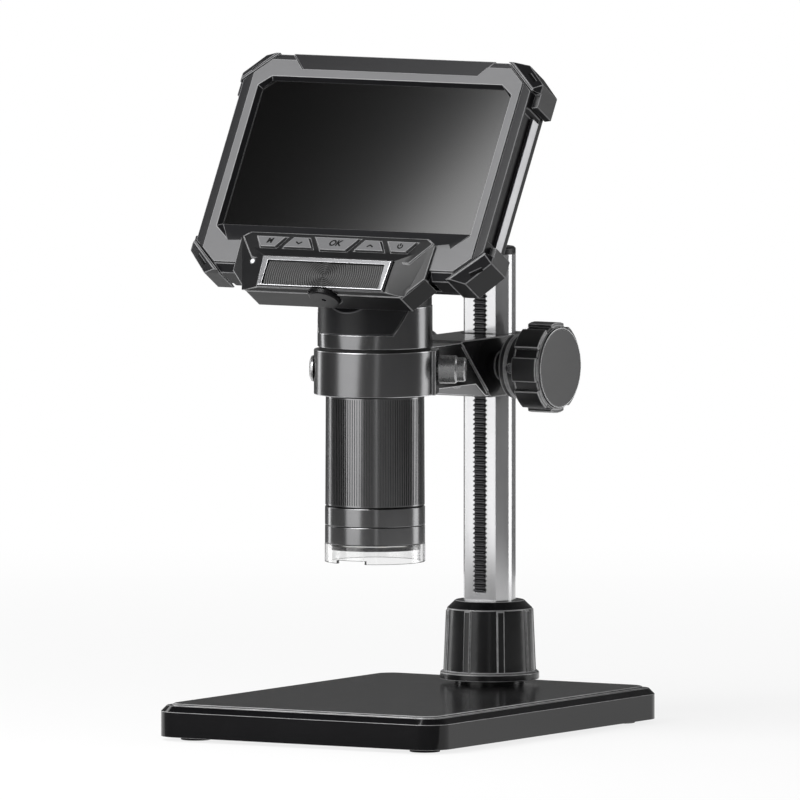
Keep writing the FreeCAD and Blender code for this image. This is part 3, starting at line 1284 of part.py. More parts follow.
panel_column = slab("panel_column", panel_outline, d.bezel_front, panel_low_front)
button_panel = common(panel_side, panel_column)


def panel_front(z):
    """Give the depth of the sloping button panel at a height on the head."""
    share = (as_size(z) - d.console_top) / (d.decor_top - d.console_top)
    return d.bezel_front + 1 + (panel_low_front - d.bezel_front - 1) * share


def key_outline(x, half_low, half_high, height, grow=0):
    """Give the outline of a button, wider at one of its long edges."""
    low = d.button_line - height / 2 - grow
    high = d.button_line + height / 2 + grow
    x, grow = as_size(x), as_size(grow) * 1.5
    return [(x - half_low - grow, low), (x + half_low + grow, low), (x + half_high + grow, high),
            (x - half_high - grow, high)]


keys = [("button_menu", -d.button_pitch_far, d.button_narrow, d.button_wide, d.button_height),
        ("button_down", -d.button_pitch_near, d.button_wide, d.button_narrow, d.button_height),
        ("button_confirm", as_size(0), d.confirm_narrow, d.confirm_wide, d.confirm_height),
        ("button_up", d.button_pitch_near, d.button_wide, d.button_narrow, d.button_height),
        ("button_power", d.button_pitch_far, d.button_narrow, d.button_wide, d.button_height)]
key_rooms = [slab("key_room", key_outline(x, half_low, half_high, height, 0.2), 0, d.plateau_front + 1)
             for label, x, half_low, half_high, height in keys]

wheel_top = d.wheel_low + d.wheel_width


def wheel_room_tool():
    """Make the room for the brightness wheel."""
    low = d.console_low - 2
    return cylinder(d.wheel_radius + 0.4, 0, -d.wheel_place, low, wheel_top + d.small_gap - low)


dimmer_top = wheel_top + 3.6
dimmer_room = primitive_box(-5, 5, -(d.wheel_place + 3), -(d.wheel_place - 4.5), wheel_top + 0.2, dimmer_top)
light_x = -(d.decor_half_top + 4.5)
light_z = d.decor_top - 1.6
light_front = d.plateau_front - 0.9
light_room = head_round(d.light_radius + d.seam, light_x, light_z, d.bezel_front + 0.5, d.plateau_front + 2)
console_blank = fuse([console, button_panel])
node(on_head(cut(console_blank, key_rooms + [wheel_room_tool(), dimmer_room, light_room])), "console")
status_light = body("light_body")
drawing = sketch(status_light, "XZ_Plane", light_front)
circle(drawing, d.light_radius, light_x, light_z)
pad(status_light, drawing, light_front - (d.bezel_front + 0.5), backwards=True)
node(on_head(status_light), "status_light")

decor_frame = slab("decor_body", plateau, d.plateau_front, d.decor_front - 0.5)
inset = 0.5
slope(decor_frame, plateau, d.decor_front - 0.5,
      [(-(d.decor_half_low - inset), d.decor_low + inset), (d.decor_half_low - inset, d.decor_low + inset),
       (d.decor_half_top - inset, d.decor_top - inset), (-(d.decor_half_top - inset), d.decor_top - inset)],
      d.decor_front)
slab_hole(decor_frame, box_points(d.window_half, d.window_low, d.window_top), d.plateau_front, d.decor_front)
node(on_head(cut(decor_frame, [wheel_room_tool()])), "decor_frame")
plate_outline = box_points(d.window_half - d.seam, d.window_low + d.seam, d.window_top - d.seam)
decor_plate = slab("plate_body", plate_outline, d.plateau_front, d.plateau_front + 0.5)
node(on_head(decor_plate), "decor_plate")

mat_front = d.button_bottom - d.button_travel - 0.1
mat = slab("mat_body", box_points(d.keypad_half - 0.2, d.keypad_low + 0.2, d.keypad_high - 0.2),
           mat_front - d.mat_thickness, mat_front)
node(on_head(mat), "keypad_mat")
mat_back = mat_front - d.mat_thickness
button_board = slab("keys_body", box_points(d.keypad_half - 0.05, d.keypad_low + 0.05, d.keypad_high - 0.05),
                    mat_back - d.board_thickness, mat_back)
node(on_head(button_board), "button_board")
node(on_head(usb), "usb_socket")

wheel_bore = d.wheel_pin_radius + d.sliding_fit
wheel = turned("wheel_body", [
    (wheel_bore, d.wheel_low), (d.wheel_radius - 0.5, d.wheel_low), (d.wheel_radius, d.wheel_low + 0.5),
    (d.wheel_radius, wheel_top - 0.4), (d.wheel_radius - 0.4, wheel_top), (wheel_bore, wheel_top)])
dimmer_case = primitive_box(-5, 5, -(d.wheel_place + 3), -(d.wheel_place - 4.5), wheel_top + 0.3, dimmer_top)
dimmer_pin = cylinder(d.wheel_pin_radius, 0, -d.wheel_place, d.wheel_low + 0.4, d.wheel_width + 1)
node(on_head(fuse([dimmer_case, dimmer_pin])), "brightness_dimmer")


def set_wheel(item):
    """Put the wheel on its axis, before the screen plane on the tilted head."""
    item.Placement = FreeCAD.Placement(vector(), FreeCAD.Rotation(vector(-1, 0, 0), d.head_tilt.value))
    bind(item, "Placement.Rotation.Angle", d.head_tilt)
    return place(item, 0, d.head_place - d.wheel_place * math.cos(tilt),
                 d.head_height + d.wheel_place * math.sin(tilt))


node(set_wheel(wheel), "brightness_wheel")

for label, x, half_low, half_high, height in keys:
    outline = key_outline(x, half_low, half_high, height)
    column = slab("key_column", outline, d.button_bottom, d.decor_front + 1)
    low = d.button_line - height
    high = d.button_line + height
    side = body("key_side")
    drawing = sketch(side, "YZ_Plane")
    polygon(drawing, [(-(d.button_bottom - 1), low), (-(panel_front(low) + d.button_proud), low),
                      (-(panel_front(high) + d.button_proud), high), (-(d.button_bottom - 1), high)])
    pad(side, drawing, 80, middle=True)
    node(on_head(common(column, side)), label)

# Check every object and sub-part, then write the parts
doc.recompute()
for item in doc.Objects:
    if "Invalid" in item.State or "Error" in item.State:
        raise RuntimeError(f"{item.Name} ({item.Label}) failed")
for item in nodes:
    if item.Shape.isNull() or not item.Shape.isValid():
        raise RuntimeError(f"{item.Label} has no valid shape")
for item in nodes:
    item.Shape.exportStep(f"parts/{item.Label}.step")
    box = item.Shape.BoundBox
    print(f"{item.Label:20s} {len(item.Shape.Solids)} {item.Shape.Volume:9.1f} "
          f"{box.XMin:7.2f} {box.XMax:7.2f} {box.YMin:7.2f} {box.YMax:7.2f} {box.ZMin:7.2f} {box.ZMax:7.2f}")
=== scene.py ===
import bpy, bmesh, json, math
from mathutils import Matrix, Vector


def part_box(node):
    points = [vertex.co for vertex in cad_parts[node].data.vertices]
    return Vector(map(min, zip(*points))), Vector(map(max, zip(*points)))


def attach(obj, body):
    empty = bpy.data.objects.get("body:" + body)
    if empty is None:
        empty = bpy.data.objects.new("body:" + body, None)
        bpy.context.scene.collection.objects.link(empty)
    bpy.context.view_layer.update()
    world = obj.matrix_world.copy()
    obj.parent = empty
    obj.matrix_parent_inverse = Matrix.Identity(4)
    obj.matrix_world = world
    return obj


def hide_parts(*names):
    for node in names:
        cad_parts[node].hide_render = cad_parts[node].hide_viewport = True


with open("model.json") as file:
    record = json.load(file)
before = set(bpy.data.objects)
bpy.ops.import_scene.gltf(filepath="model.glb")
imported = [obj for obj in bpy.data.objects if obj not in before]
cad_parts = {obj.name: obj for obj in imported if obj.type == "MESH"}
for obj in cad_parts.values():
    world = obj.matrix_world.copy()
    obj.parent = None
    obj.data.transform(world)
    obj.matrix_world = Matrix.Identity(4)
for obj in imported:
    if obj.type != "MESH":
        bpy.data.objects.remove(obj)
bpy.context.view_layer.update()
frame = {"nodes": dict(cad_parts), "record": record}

mm = 0.001
print("frame loaded:", len(frame["nodes"]), "nodes")

# the view of the reference picture
viewSetup = {"azimuth": 30.8, "elevation": 4.45, "target": (-2.4, -1.5, 109.3), "lens": 1450,
             "width": 263.2, "sensor": 36}


def makeCamera(s):
    a, e = math.radians(s["azimuth"]), math.radians(s["elevation"])
    back = Vector((math.sin(a) * math.cos(e), -math.cos(a) * math.cos(e), math.sin(e)))
    data = bpy.data.cameras.new("camera")
    data.lens, data.sensor_width = s["lens"], s["sensor"]
    camera = bpy.data.objects.new("camera", data)
    away = s["width"] * s["lens"] / s["sensor"] * mm
    camera.location = Vector(s["target"]) * mm + back * away
    camera.rotation_mode = "QUATERNION"
    camera.rotation_quaternion = (-back).to_track_quat("-Z", "Y")
    data.clip_start, data.clip_end = away * 0.2, away * 3
    bpy.context.scene.collection.objects.link(camera)
    bpy.context.scene.camera = camera


makeCamera(viewSetup)
bpy.context.scene.view_settings.view_transform = "Standard"


class Sum:
    # a number socket that takes part in sums: each operation adds its Math node
    def __init__(self, look, socket):
        self.look, self.socket = look, socket

    def mathNode(self, operation, *values):
        return self.look.node("ShaderNodeMath", {"operation": operation}, *values)

    def __add__(self, other):
        return self.mathNode("ADD", self, other)

    def __mul__(self, other):
        return self.mathNode("MULTIPLY", self, other)


class Look:
    # one material, or the world, and its nodes
    def __init__(self, name, world=None):
        self.mat = world or bpy.data.materials.new(name)
        self.mat.use_nodes = True
        self.tree = self.mat.node_tree
        self.shader = next(n for n in self.tree.nodes if n.type in ("BSDF_PRINCIPLED", "BACKGROUND"))

    def node(self, kind, settings, *values, out=0):
        # a new node with its settings, then its inputs: in order, or by name in one dict
        made = self.tree.nodes.new(kind)
        for key, value in settings.items():
            setattr(made, key, value)
        named = bool(values) and isinstance(values[0], dict)
        for key, value in values[0].items() if named else enumerate(values):
            self.feed(made.inputs[key], value)
        return Sum(self, made.outputs[out])

    def feed(self, socket, value):
        if isinstance(value, Sum):
            self.tree.links.new(value.socket, socket)
        else:
            socket.default_value = value

    def set(self, **values):
        for key, value in values.items():
            self.feed(self.shader.inputs[key.replace("_", " ")], value)
        return self

    def place(self, scale=(1, 1, 1), shift=(0, 0, 0)):
        coords = self.node("ShaderNodeTexCoord", {}, out=3)
        return self.node("ShaderNodeMapping", {}, {"Vector": coords, "Location": shift, "Scale": scale})

    def noise(self, scale, detail=3.0, rough=0.55, stretch=(1, 1, 1)):
        return self.node("ShaderNodeTexNoise", {}, {"Vector": self.place(stretch), "Scale": scale,
                                                    "Detail": detail, "Roughness": rough})

    def ramp(self, value, low, high):
        return self.node("ShaderNodeMapRange", {}, {"Value": value, "From Min": low[0], "From Max": high[0],
                                                    "To Min": low[1], "To Max": high[1]})

    def mix(self, factor, first, second):
        return self.node("ShaderNodeMix", {"data_type": "RGBA"},
                         {0: factor, 6: grey(first), 7: grey(second)}, out=2)

    def edge(self):
        # 1 on the narrow faces of a rounded edge, 0 elsewhere
        return self.node("ShaderNodeAttribute", {"attribute_name": "edge"}, out=2)

    def blend(self, factor, other):
        # the material's shader mixed with another one
        out = next(n for n in self.tree.nodes if n.type == "OUTPUT_MATERIAL")
        mixed = self.node("ShaderNodeMixShader", {}, factor, Sum(self, self.shader.outputs[0]), other)
        self.tree.links.new(mixed.socket, out.inputs[0])

    def bump(self, height, strength, distance):
        return self.node("ShaderNodeBump", {},
                         {"Height": height, "Strength": strength, "Distance": distance})


def grey(colour):
    if isinstance(colour, Sum):
        return colour
    if isinstance(colour, (int, float)):
        colour = (colour, colour, colour)
    return (*colour, 1)


# noise scales per metre, and the range of a noise that counts
texture = {"patch": 45, "smear": 160, "toolLine": 300, "cloud": 60, "haze": 120, "spot": 900,
           "low": 0.3, "high": 0.7}


def patchy(look, scale, detail, colour, patch):
    # the colour, a little darker and lighter in broad soft patches
    return look.mix(look.ramp(look.noise(scale, detail), (texture["low"], 0), (texture["high"], 1)),
                    [c * (1 - patch) for c in colour], [c * (1 + patch) for c in colour])


def plastic(name, colour, rough, grain=0.25, grainSize=0.35, patch=0.25, shine=0.35, edgeHighlight=3.0, lift=0.012):
    # moulded plastic: fine spark-eroded grain, faint patches of gloss, and a painted highlight on the
    # rounded edges, broken up by noise
    look = Look(name)
    fine = look.noise(1 / (grainSize * mm), 2.0)
    body = patchy(look, texture["patch"], 4.0, colour, patch)
    smear = look.noise(texture["smear"], 3.0, 0.6, (1, 1, 4))
    # painted edge highlight: the narrow edge faces take the colour times edgeHighlight plus lift, patchy by
    # noise
    painted_edge_highlight = look.edge() * look.ramp(smear, (0.25, 0.6), (0.6, 1))
    gloss = look.ramp(smear, (texture["low"], rough * 0.94), (texture["high"], min(rough * 1.07, 1)))
    look.set(Base_Color=look.mix(painted_edge_highlight, body, [c * edgeHighlight + lift for c in colour]),
             Roughness=gloss + fine * (0.2 * grain), Normal=look.bump(fine, grain, 0.02 * mm),
             Specular_IOR_Level=shine)
    return look


def metal(name, colour, rough, along=(1, 1, 60), lines=0.12, patch=0.1, edgeHighlight=1.6, spread=0.22,
          metallic=1.0):
    # turned or brushed metal: stretched noise makes the tool lines, and the rounded edges get a painted
    # highlight
    look = Look(name)
    line = look.noise(texture["toolLine"], 3.0, 0.6, along)
    body = patchy(look, texture["cloud"], 3.0, colour, patch)
    gloss = look.ramp(line, (texture["low"], rough * (1 - spread)), (texture["high"], rough * (1 + spread)))
    # painted edge highlight: the narrow edge faces take the colour times edgeHighlight
    look.set(Base_Color=look.mix(look.edge(), body, [min(c * edgeHighlight + 0.02, 0.95) for c in colour]),
             Metallic=metallic, Roughness=gloss, Normal=look.bump(line, lines, 0.01 * mm))
    return look


def clearPlastic(name, tint, rough):
    # clear plastic with a slight haze, and painted shade on its rounded edges
    look = Look(name)
    haze = look.ramp(look.noise(texture["haze"], 3.0), (texture["low"], rough * 0.5),
                     (texture["high"], rough * 1.6))
    # painted shade: the rounded edges are tinted nearly black
    look.set(Base_Color=look.mix(look.edge(), tint, 0.02), Roughness=haze,
             Transmission_Weight=1.0, IOR=1.49)
    return look


def glow(name, colour, strength):
    # a small lit part
    look = Look(name)
    spot = look.noise(texture["spot"], 2.0)
    look.set(Base_Color=look.mix(spot, [c * 0.9 for c in colour], colour), Roughness=0.3,
             Emission_Color=grey(colour), Emission_Strength=strength)
    return look


# the plate's groove pitch in mm, its lean in degrees, the number of painted highlight fans, and the share
# of a groove's period in a wave's scale
grooves = {"pitch": 0.8, "lean": 59.5, "highlightFans": 4, "waveShare": 0.314}


def groovedPlate(name, corners):
    # a black plate with fine turned grooves round its middle, and painted highlights in fans over the
    # grooves
    look = Look(name)
    centre = (Vector(corners[0]) + Vector(corners[1])) / 2
    flat = look.place(shift=-centre)
    rings = look.node("ShaderNodeTexWave", {"wave_type": "RINGS", "rings_direction": "SPHERICAL"},
                      {"Vector": flat, "Scale": grooves["waveShare"] / (grooves["pitch"] * mm)})
    # painted highlight: the colour lifts in fans round the middle and on the grooves, where turned grooves
    # would catch the light
    turned = look.node("ShaderNodeMapping", {},
                       {"Vector": flat, "Rotation": (math.radians(grooves["lean"]), 0, 0)})
    parts = look.node("ShaderNodeSeparateXYZ", {}, {"Vector": turned})
    rise = Sum(look, parts.socket.node.outputs["Y"])
    angle = look.node("ShaderNodeMath", {"operation": "ARCTAN2"}, rise, parts)
    fanHighlight = look.node("ShaderNodeMath", {"operation": "COSINE"}, angle * grooves["highlightFans"])
    painted_fan_sheen = look.ramp(fanHighlight, (0.2, 0), (1, 1)) * look.ramp(rings, (0.1, 0.3), (0.9, 1))
    look.set(Base_Color=look.mix(painted_fan_sheen, 0.003, 0.03), Roughness=0.3, Specular_IOR_Level=0.16,
             Normal=look.bump(rings, 0.5, 0.12 * mm))
    return look


# moulded and painted finishes; what a row leaves out is in plastic(); edgeHighlight and lift set the
# painted highlight on rounded edges
plastics = {
    "glossBlack": {"colour": (0.003, 0.003, 0.0035), "rough": 0.14, "grain": 0.0, "grainSize": 0.5,
                   "patch": 0.15, "shine": 0.35, "edgeHighlight": 4, "lift": 0.3},
    "stageBlack": {"colour": (0.004, 0.004, 0.0045), "rough": 0.2, "grain": 0.0, "grainSize": 0.4,
                   "patch": 0.15, "shine": 0.4, "edgeHighlight": 4, "lift": 0.3},
    "collarBlack": {"colour": (0.005, 0.005, 0.0055), "rough": 0.22, "grain": 0.0, "grainSize": 0.3,
                    "patch": 0.1, "shine": 0.45, "edgeHighlight": 6, "lift": 0.3},
    "satinBlack": {"colour": (0.012, 0.012, 0.013), "rough": 0.34, "grain": 0.12, "grainSize": 0.3,
                   "patch": 0.2},
    "rubber": {"colour": (0.015, 0.015, 0.015), "rough": 0.75, "grain": 0.4, "grainSize": 0.4},
    "bezelGrey": {"colour": (0.11, 0.11, 0.113), "rough": 0.42, "grain": 0.25, "grainSize": 0.28,
                  "patch": 0.06, "shine": 0.2, "edgeHighlight": 1.7, "lift": 0.06},
    "frameBlack": {"colour": (0.009, 0.009, 0.01), "rough": 0.36, "grain": 0.2, "grainSize": 0.3,
                   "patch": 0.1, "shine": 0.15, "edgeHighlight": 4, "lift": 0.13},
    "guardBlack": {"colour": (0.008, 0.008, 0.009), "rough": 0.32, "grain": 0.15, "grainSize": 0.3,
                   "patch": 0.1, "shine": 0.25, "edgeHighlight": 4, "lift": 0.14},
    "consoleBlack": {"colour": (0.006, 0.006, 0.0065), "rough": 0.32, "grain": 0.15, "grainSize": 0.3,
                     "patch": 0.08, "shine": 0.2, "edgeHighlight": 5, "lift": 0.16},
    "buttonGrey": {"colour": (0.1, 0.1, 0.103), "rough": 0.45, "grain": 0.15, "grainSize": 0.25,
                   "patch": 0.05, "shine": 0.2, "edgeHighlight": 1.5, "lift": 0.12},
    "legendBlack": {"colour": (0.002, 0.002, 0.002), "rough": 0.6, "grain": 0.1, "grainSize": 0.35,
                    "patch": 0.2, "shine": 0.1, "edgeHighlight": 1, "lift": 0},
    "knobBlack": {"colour": (0.014, 0.014, 0.015), "rough": 0.3, "grain": 0.08, "grainSize": 0.3,
                  "patch": 0.12, "shine": 1.0, "edgeHighlight": 5, "lift": 0.3},
    "neckBlack": {"colour": (0.008, 0.008, 0.009), "rough": 0.36, "grain": 0.15, "grainSize": 0.3,
                  "patch": 0.12, "shine": 0.25, "edgeHighlight": 4, "lift": 0.05},
    "capGrey": {"colour": (0.036, 0.036, 0.037), "rough": 0.34, "grain": 0.03, "grainSize": 0.2,
                "patch": 0.05, "shine": 0.5, "edgeHighlight": 2.5, "lift": 0.05},
    "armBlack": {"colour": (0.006, 0.006, 0.0065), "rough": 0.2, "grain": 0.0, "grainSize": 0.3,
                 "patch": 0.1, "shine": 0.8, "edgeHighlight": 8, "lift": 0.16},
    "board": {"colour": (0.02, 0.09, 0.04), "rough": 0.4, "grain": 0.1, "grainSize": 0.8},
    "cell": {"colour": (0.08, 0.12, 0.28), "rough": 0.35, "grain": 0.05, "grainSize": 0.8},
    "chip": {"colour": (0.02, 0.02, 0.03), "rough": 0.2, "grain": 0.05, "grainSize": 0.8}}

# metal finishes; what a row leaves out is in metal()
metals = {
    "tubeGrey": {"colour": (0.2, 0.2, 0.203), "rough": 0.19, "along": (1, 1, 14), "lines": 0.0,
                 "patch": 0.03, "edgeHighlight": 1, "spread": 0.06},
    "sleeveGrey": {"colour": (0.17, 0.17, 0.173), "rough": 0.2, "along": (1, 1, 14), "lines": 0.0,
                   "patch": 0.03, "edgeHighlight": 3, "spread": 0.06},
    "ringGrey": {"colour": (0.18, 0.18, 0.183), "rough": 0.22, "along": (1, 1, 14), "lines": 0.0,
                 "patch": 0.03, "edgeHighlight": 3, "spread": 0.06},
    "screwGrey": {"colour": (0.4, 0.4, 0.404), "rough": 0.26, "along": (1, 1, 1), "lines": 0.03,
                  "patch": 0.1, "edgeHighlight": 1.6, "metallic": 0.8},
    # silver of the thin bars that paint highlight lines at the arm joint
    "highlightSilver": {"colour": (0.5, 0.5, 0.505), "rough": 0.35, "along": (1, 1, 1), "lines": 0.03},
    "railSilver": {"colour": (0.42, 0.42, 0.43), "rough": 0.36, "along": (1, 0.03, 0.03)},
    "decorSilver": {"colour": (0.1, 0.1, 0.103), "rough": 0.3, "along": (0.05, 1, 1), "lines": 0.05,
                    "patch": 0.1, "edgeHighlight": 4.5},
    "chrome": {"colour": (0.56, 0.56, 0.566), "rough": 0.1, "along": (1, 1, 0.02), "lines": 0.03,
               "patch": 0.03, "edgeHighlight": 1, "metallic": 0.7},
    "rackSteel": {"colour": (0.09, 0.09, 0.093), "rough": 0.38, "along": (1, 1, 1)},
    "steel": {"colour": (0.55, 0.55, 0.56), "rough": 0.25, "along": (1, 1, 1)},
    "bronze": {"colour": (0.6, 0.42, 0.22), "rough": 0.3, "along": (1, 1, 1)}}

finishes = {name: plastic(name, **row) for name, row in plastics.items()}
finishes.update({name: metal(name, **row) for name, row in metals.items()})
finishes["clear"] = clearPlastic("clear", 0.9, 0.04)
finishes["lamp"] = glow("lamp", (1.0, 0.97, 0.88), 0.6)
finishes["light"] = glow("light", (0.6, 0.62, 0.65), 0.2)
finishes["decorPlate"] = groovedPlate("decorPlate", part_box("decor_plate"))


# the screen's painted reflection: its black on the left and its lighter black on the right, and where in
# metres the first turns into the second
screenPaintedReflection = {"from": -0.03, "to": 0.046, "left": 0.0004, "right": 0.003, "rough": 0.13, "shine": 0.35,
              "waves": 25}


def screenLook(s):
    # the dark panel behind glass, with a painted reflection that lifts its black towards the right side
    look = Look("screenBlack")
    across = look.node("ShaderNodeSeparateXYZ", {}, {"Vector": look.place()})
    # painted reflection: the base colour rises from left to right
    lift = look.ramp(across, (s["from"], 0), (s["to"], 1))
    look.set(Base_Color=look.mix(lift, s["left"], s["right"]), Roughness=s["rough"],
             Normal=look.bump(look.noise(s["waves"], 2.0), 0.02, 0.1 * mm), Specular_IOR_Level=s["shine"])
    return look


finishes["screen"] = screenLook(screenPaintedReflection)
print("materials made:", len(finishes))


# which finish a CAD node takes, and how far its edges are rounded in millimetres; the nodes that
# aren't here are remade by a detailed piece further down
nodeFinish = {
    "base_plate": ("glossBlack", 0.35), "stage_panel": ("stageBlack", 0.35),
    "rubber_feet": ("rubber", 0.2), "post": ("chrome", 0.1), "post_cap": ("satinBlack", 0.15),
    "post_bolt": ("steel", 0), "post_collar": ("collarBlack", 0.25), "rack": ("rackSteel", 0),
    "carriage_block": ("armBlack", 0.4), "guide_liner": ("rubber", 0), "shaft_bushes": ("bronze", 0),
    "arm_screws": ("steel", 0), "holder_arm": ("ringGrey", 0.3), "ring_screw": ("screwGrey", 0.2),
    "pinion_shaft": ("steel", 0), "knob_right": ("knobBlack", 0.3), "knob_left": ("knobBlack", 0.3),
    "knob_caps": ("capGrey", 0.15), "knob_grub_screws": ("steel", 0), "clamp_screw": ("screwGrey", 0.2),
    "neck_sleeve": ("sleeveGrey", 0.25), "swivel_washer": ("rubber", 0),
    "neck_adapter": ("neckBlack", 0.3), "inner_tube": ("satinBlack", 0),
    "front_ring_upper": ("tubeGrey", 0.1), "front_ring_lower": ("tubeGrey", 0.1),
    "lamp_hood": ("clear", 0.4), "lamp_board": ("board", 0), "lamps": ("lamp", 0),
    "sensor_board": ("board", 0), "image_sensor": ("chip", 0), "front_bezel": ("bezelGrey", 0.15),
    "frame": ("frameBlack", 0.25), "top_strip": ("frameBlack", 0.25),
    "side_rails": ("railSilver", 0.15), "back_shell": ("frameBlack", 0.3), "back_screws": ("steel", 0),
    "corner_guards": ("guardBlack", 0.25), "screen_glass": ("screen", 0),
    "display_module": ("steel", 0), "main_board": ("board", 0), "battery": ("cell", 0),
    "console": ("consoleBlack", 0.28), "status_light": ("light", 0),
    "decor_frame": ("decorSilver", 0.14), "decor_plate": ("decorPlate", 0), "keypad_mat": ("rubber", 0),
    "button_board": ("board", 0), "usb_socket": ("steel", 0), "brightness_dimmer": ("chip", 0),
    "lens_cell": ("satinBlack", 0), "lenses": ("clear", 0), "button_menu": ("buttonGrey", 0.15),
    "button_down": ("buttonGrey", 0.15), "button_confirm": ("buttonGrey", 0.15),
    "button_up": ("buttonGrey", 0.15), "button_power": ("buttonGrey", 0.15)}
# an edge sharper than "sharp" degrees is rounded; "flat" degrees count as flat and "tiny" mm as nothing;
# the nodes in "open" are intricate: they keep their triangles, so that a tiny edge does no harm
softening = {"sharp": 28, "flat": 0.6, "tiny": 0.03,
             "open": {"frame", "front_bezel", "top_strip", "decor_frame", "console", "corner_guards",
                      "back_shell", "holder_arm", "carriage_block", "neck_adapter", "neck_sleeve",
                      "knob_right", "knob_left", "post_collar"}}


def bodyOf(nodeName):
    return next(b for b, names in frame["record"]["behaviour"]["bodies"].items() if nodeName in names)


def finishMesh(name, bm, finish, body, sharp=32):
    # turns a bmesh into a piece that rides on a body, smooth but for its sharp edges
    bm.normal_update()
    for face in bm.faces:
        face.smooth = True
    for edge in bm.edges:
        edge.smooth = not edge.is_manifold or edge.calc_face_angle(0) < math.radians(sharp)
    mesh = bpy.data.meshes.new(name)
    bm.to_mesh(mesh)
    bm.free()
    mesh.materials.append(finishes[finish].mat)
    piece = bpy.data.objects.new(name, mesh)
    bpy.context.scene.collection.objects.link(piece)
    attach(piece, body)
    return piece


def roundEdges(bm, edges, width, segments=3, clamp=True):
    # rounds edges and marks the new narrow faces, where the finishes paint a highlight
    edgeHighlight = bm.faces.layers.float.get("edge") or bm.faces.layers.float.new("edge")
    made = bmesh.ops.bevel(bm, geom=edges, offset=width * mm, offset_type="OFFSET", affect="EDGES",
                           profile=0.5, segments=segments, material=-1, clamp_overlap=clamp)
    narrow = width * mm * 0.75
    for face in made["faces"]:
        face[edgeHighlight] = face.calc_area() < max(e.calc_length() for e in face.edges) * narrow


def softCopy(nodeName, finish, width):
    # a copy of a CAD node with its sharp edges rounded, which stands for the node
    bm = bmesh.new()
    bm.from_mesh(frame["nodes"][nodeName].data)
    bmesh.ops.remove_doubles(bm, verts=bm.verts, dist=1e-6)
    free = nodeName in softening["open"]
    if not free:
        bmesh.ops.dissolve_limit(bm, angle_limit=math.radians(softening["flat"]), verts=bm.verts,
                                 edges=bm.edges)
        bmesh.ops.dissolve_degenerate(bm, edges=bm.edges, dist=softening["tiny"] * mm)
    bm.normal_update()
    limit = math.radians(softening["sharp"])
    edges = [e for e in bm.edges if e.is_manifold and e.calc_face_angle(0) > limit]
    roundEdges(bm, edges, width, clamp=not free)
    piece = finishMesh(nodeName + "_soft", bm, finish, bodyOf(nodeName))
    keep = piece.modifiers.new("flats", "WEIGHTED_NORMAL")
    keep.keep_sharp = True
    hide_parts(nodeName)
    return piece


def turnedMesh(profile, steps, edge=None):
    # a profile of (radius, height) points in millimetres spun round the z axis
    bm = bmesh.new()
    ring = [bm.verts.new((r * mm, 0, z * mm)) for r, z in profile]
    sides = [bm.edges.new((a, b)) for a, b in zip(ring, ring[1:] + ring[:1])]
    bmesh.ops.spin(bm, geom=ring + sides, cent=(0, 0, 0), axis=(0, 0, 1), angle=2 * math.pi, steps=steps,
                   use_merge=True)
    bmesh.ops.remove_doubles(bm, verts=bm.verts, dist=1e-6)
    bmesh.ops.recalc_face_normals(bm, faces=bm.faces)
    if edge:
        corners = [e for e in bm.edges if e.is_manifold and e.calc_face_angle(0) > math.radians(30)]
        roundEdges(bm, corners, edge, 2)
    return bm


def moved(bm, place):
    bmesh.ops.transform(bm, matrix=place, verts=bm.verts)
    return bm


def faceFrame(nodeName, towards):
    # the middle and the axes of a node's largest flat side that looks the given way
    groups = {}
    aim = Vector(towards).normalized()
    for face in frame["nodes"][nodeName].data.polygons:
        if face.normal.angle(aim) < math.radians(14):
            key = tuple(round(c, 2) for c in face.normal)
            groups.setdefault(key, []).append(face)
    flat = max(groups.values(), key=lambda faces: sum(f.area for f in faces))
    area = sum(f.area for f in flat)
    centre = sum((f.center * f.area for f in flat), Vector()) / area
    normal = sum((f.normal * f.area for f in flat), Vector()).normalized()
    across = Vector((0, 0, 1)).cross(normal).normalized()
    turn = Matrix((across, normal.cross(across), normal)).transposed().to_4x4()
    return Matrix.Translation(centre) @ turn


def stands(name, bm, finish, slot, *nodes, body=None, sharp=32):
    # a detailed piece that stands for CAD nodes, or a small extra one when it names a body
    piece = finishMesh(name, bm, finish, body or bodyOf(nodes[0]), sharp)
    if nodes:
        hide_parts(*nodes)
    return piece


# the middle of the screen in mm, and the sine and cosine of the head's lean
headPlane = {"y": -26.05, "z": 190.9, "sin": 0.5075, "cos": 0.8616}
headFacing = (0, -headPlane["cos"], headPlane["sin"])
tubePlace = Matrix.Translation((0, -21.55 * mm, 0))


def outerWalls(bm, least):
    # the upright faces further out than a radius in mm, in order round the z axis
    walls = [f for f in bm.faces if abs(f.normal.z) < 0.2 and f.calc_center_median().xy.length > least * mm]
    return sorted(walls, key=lambda f: math.atan2(f.calc_center_median().y, f.calc_center_median().x))


# focus ring: fine straight flutes with a plain chamfered land at each end
focusRing = {"bore": 14.4, "low": 76.25, "high": 112.5, "lowRadius": 16.35, "topRadius": 16.2, "land": 0.7,
             "chamfer": 0.25, "flutes": 120, "depth": 0.24, "ridge": 0.06, "leastArea": 5}


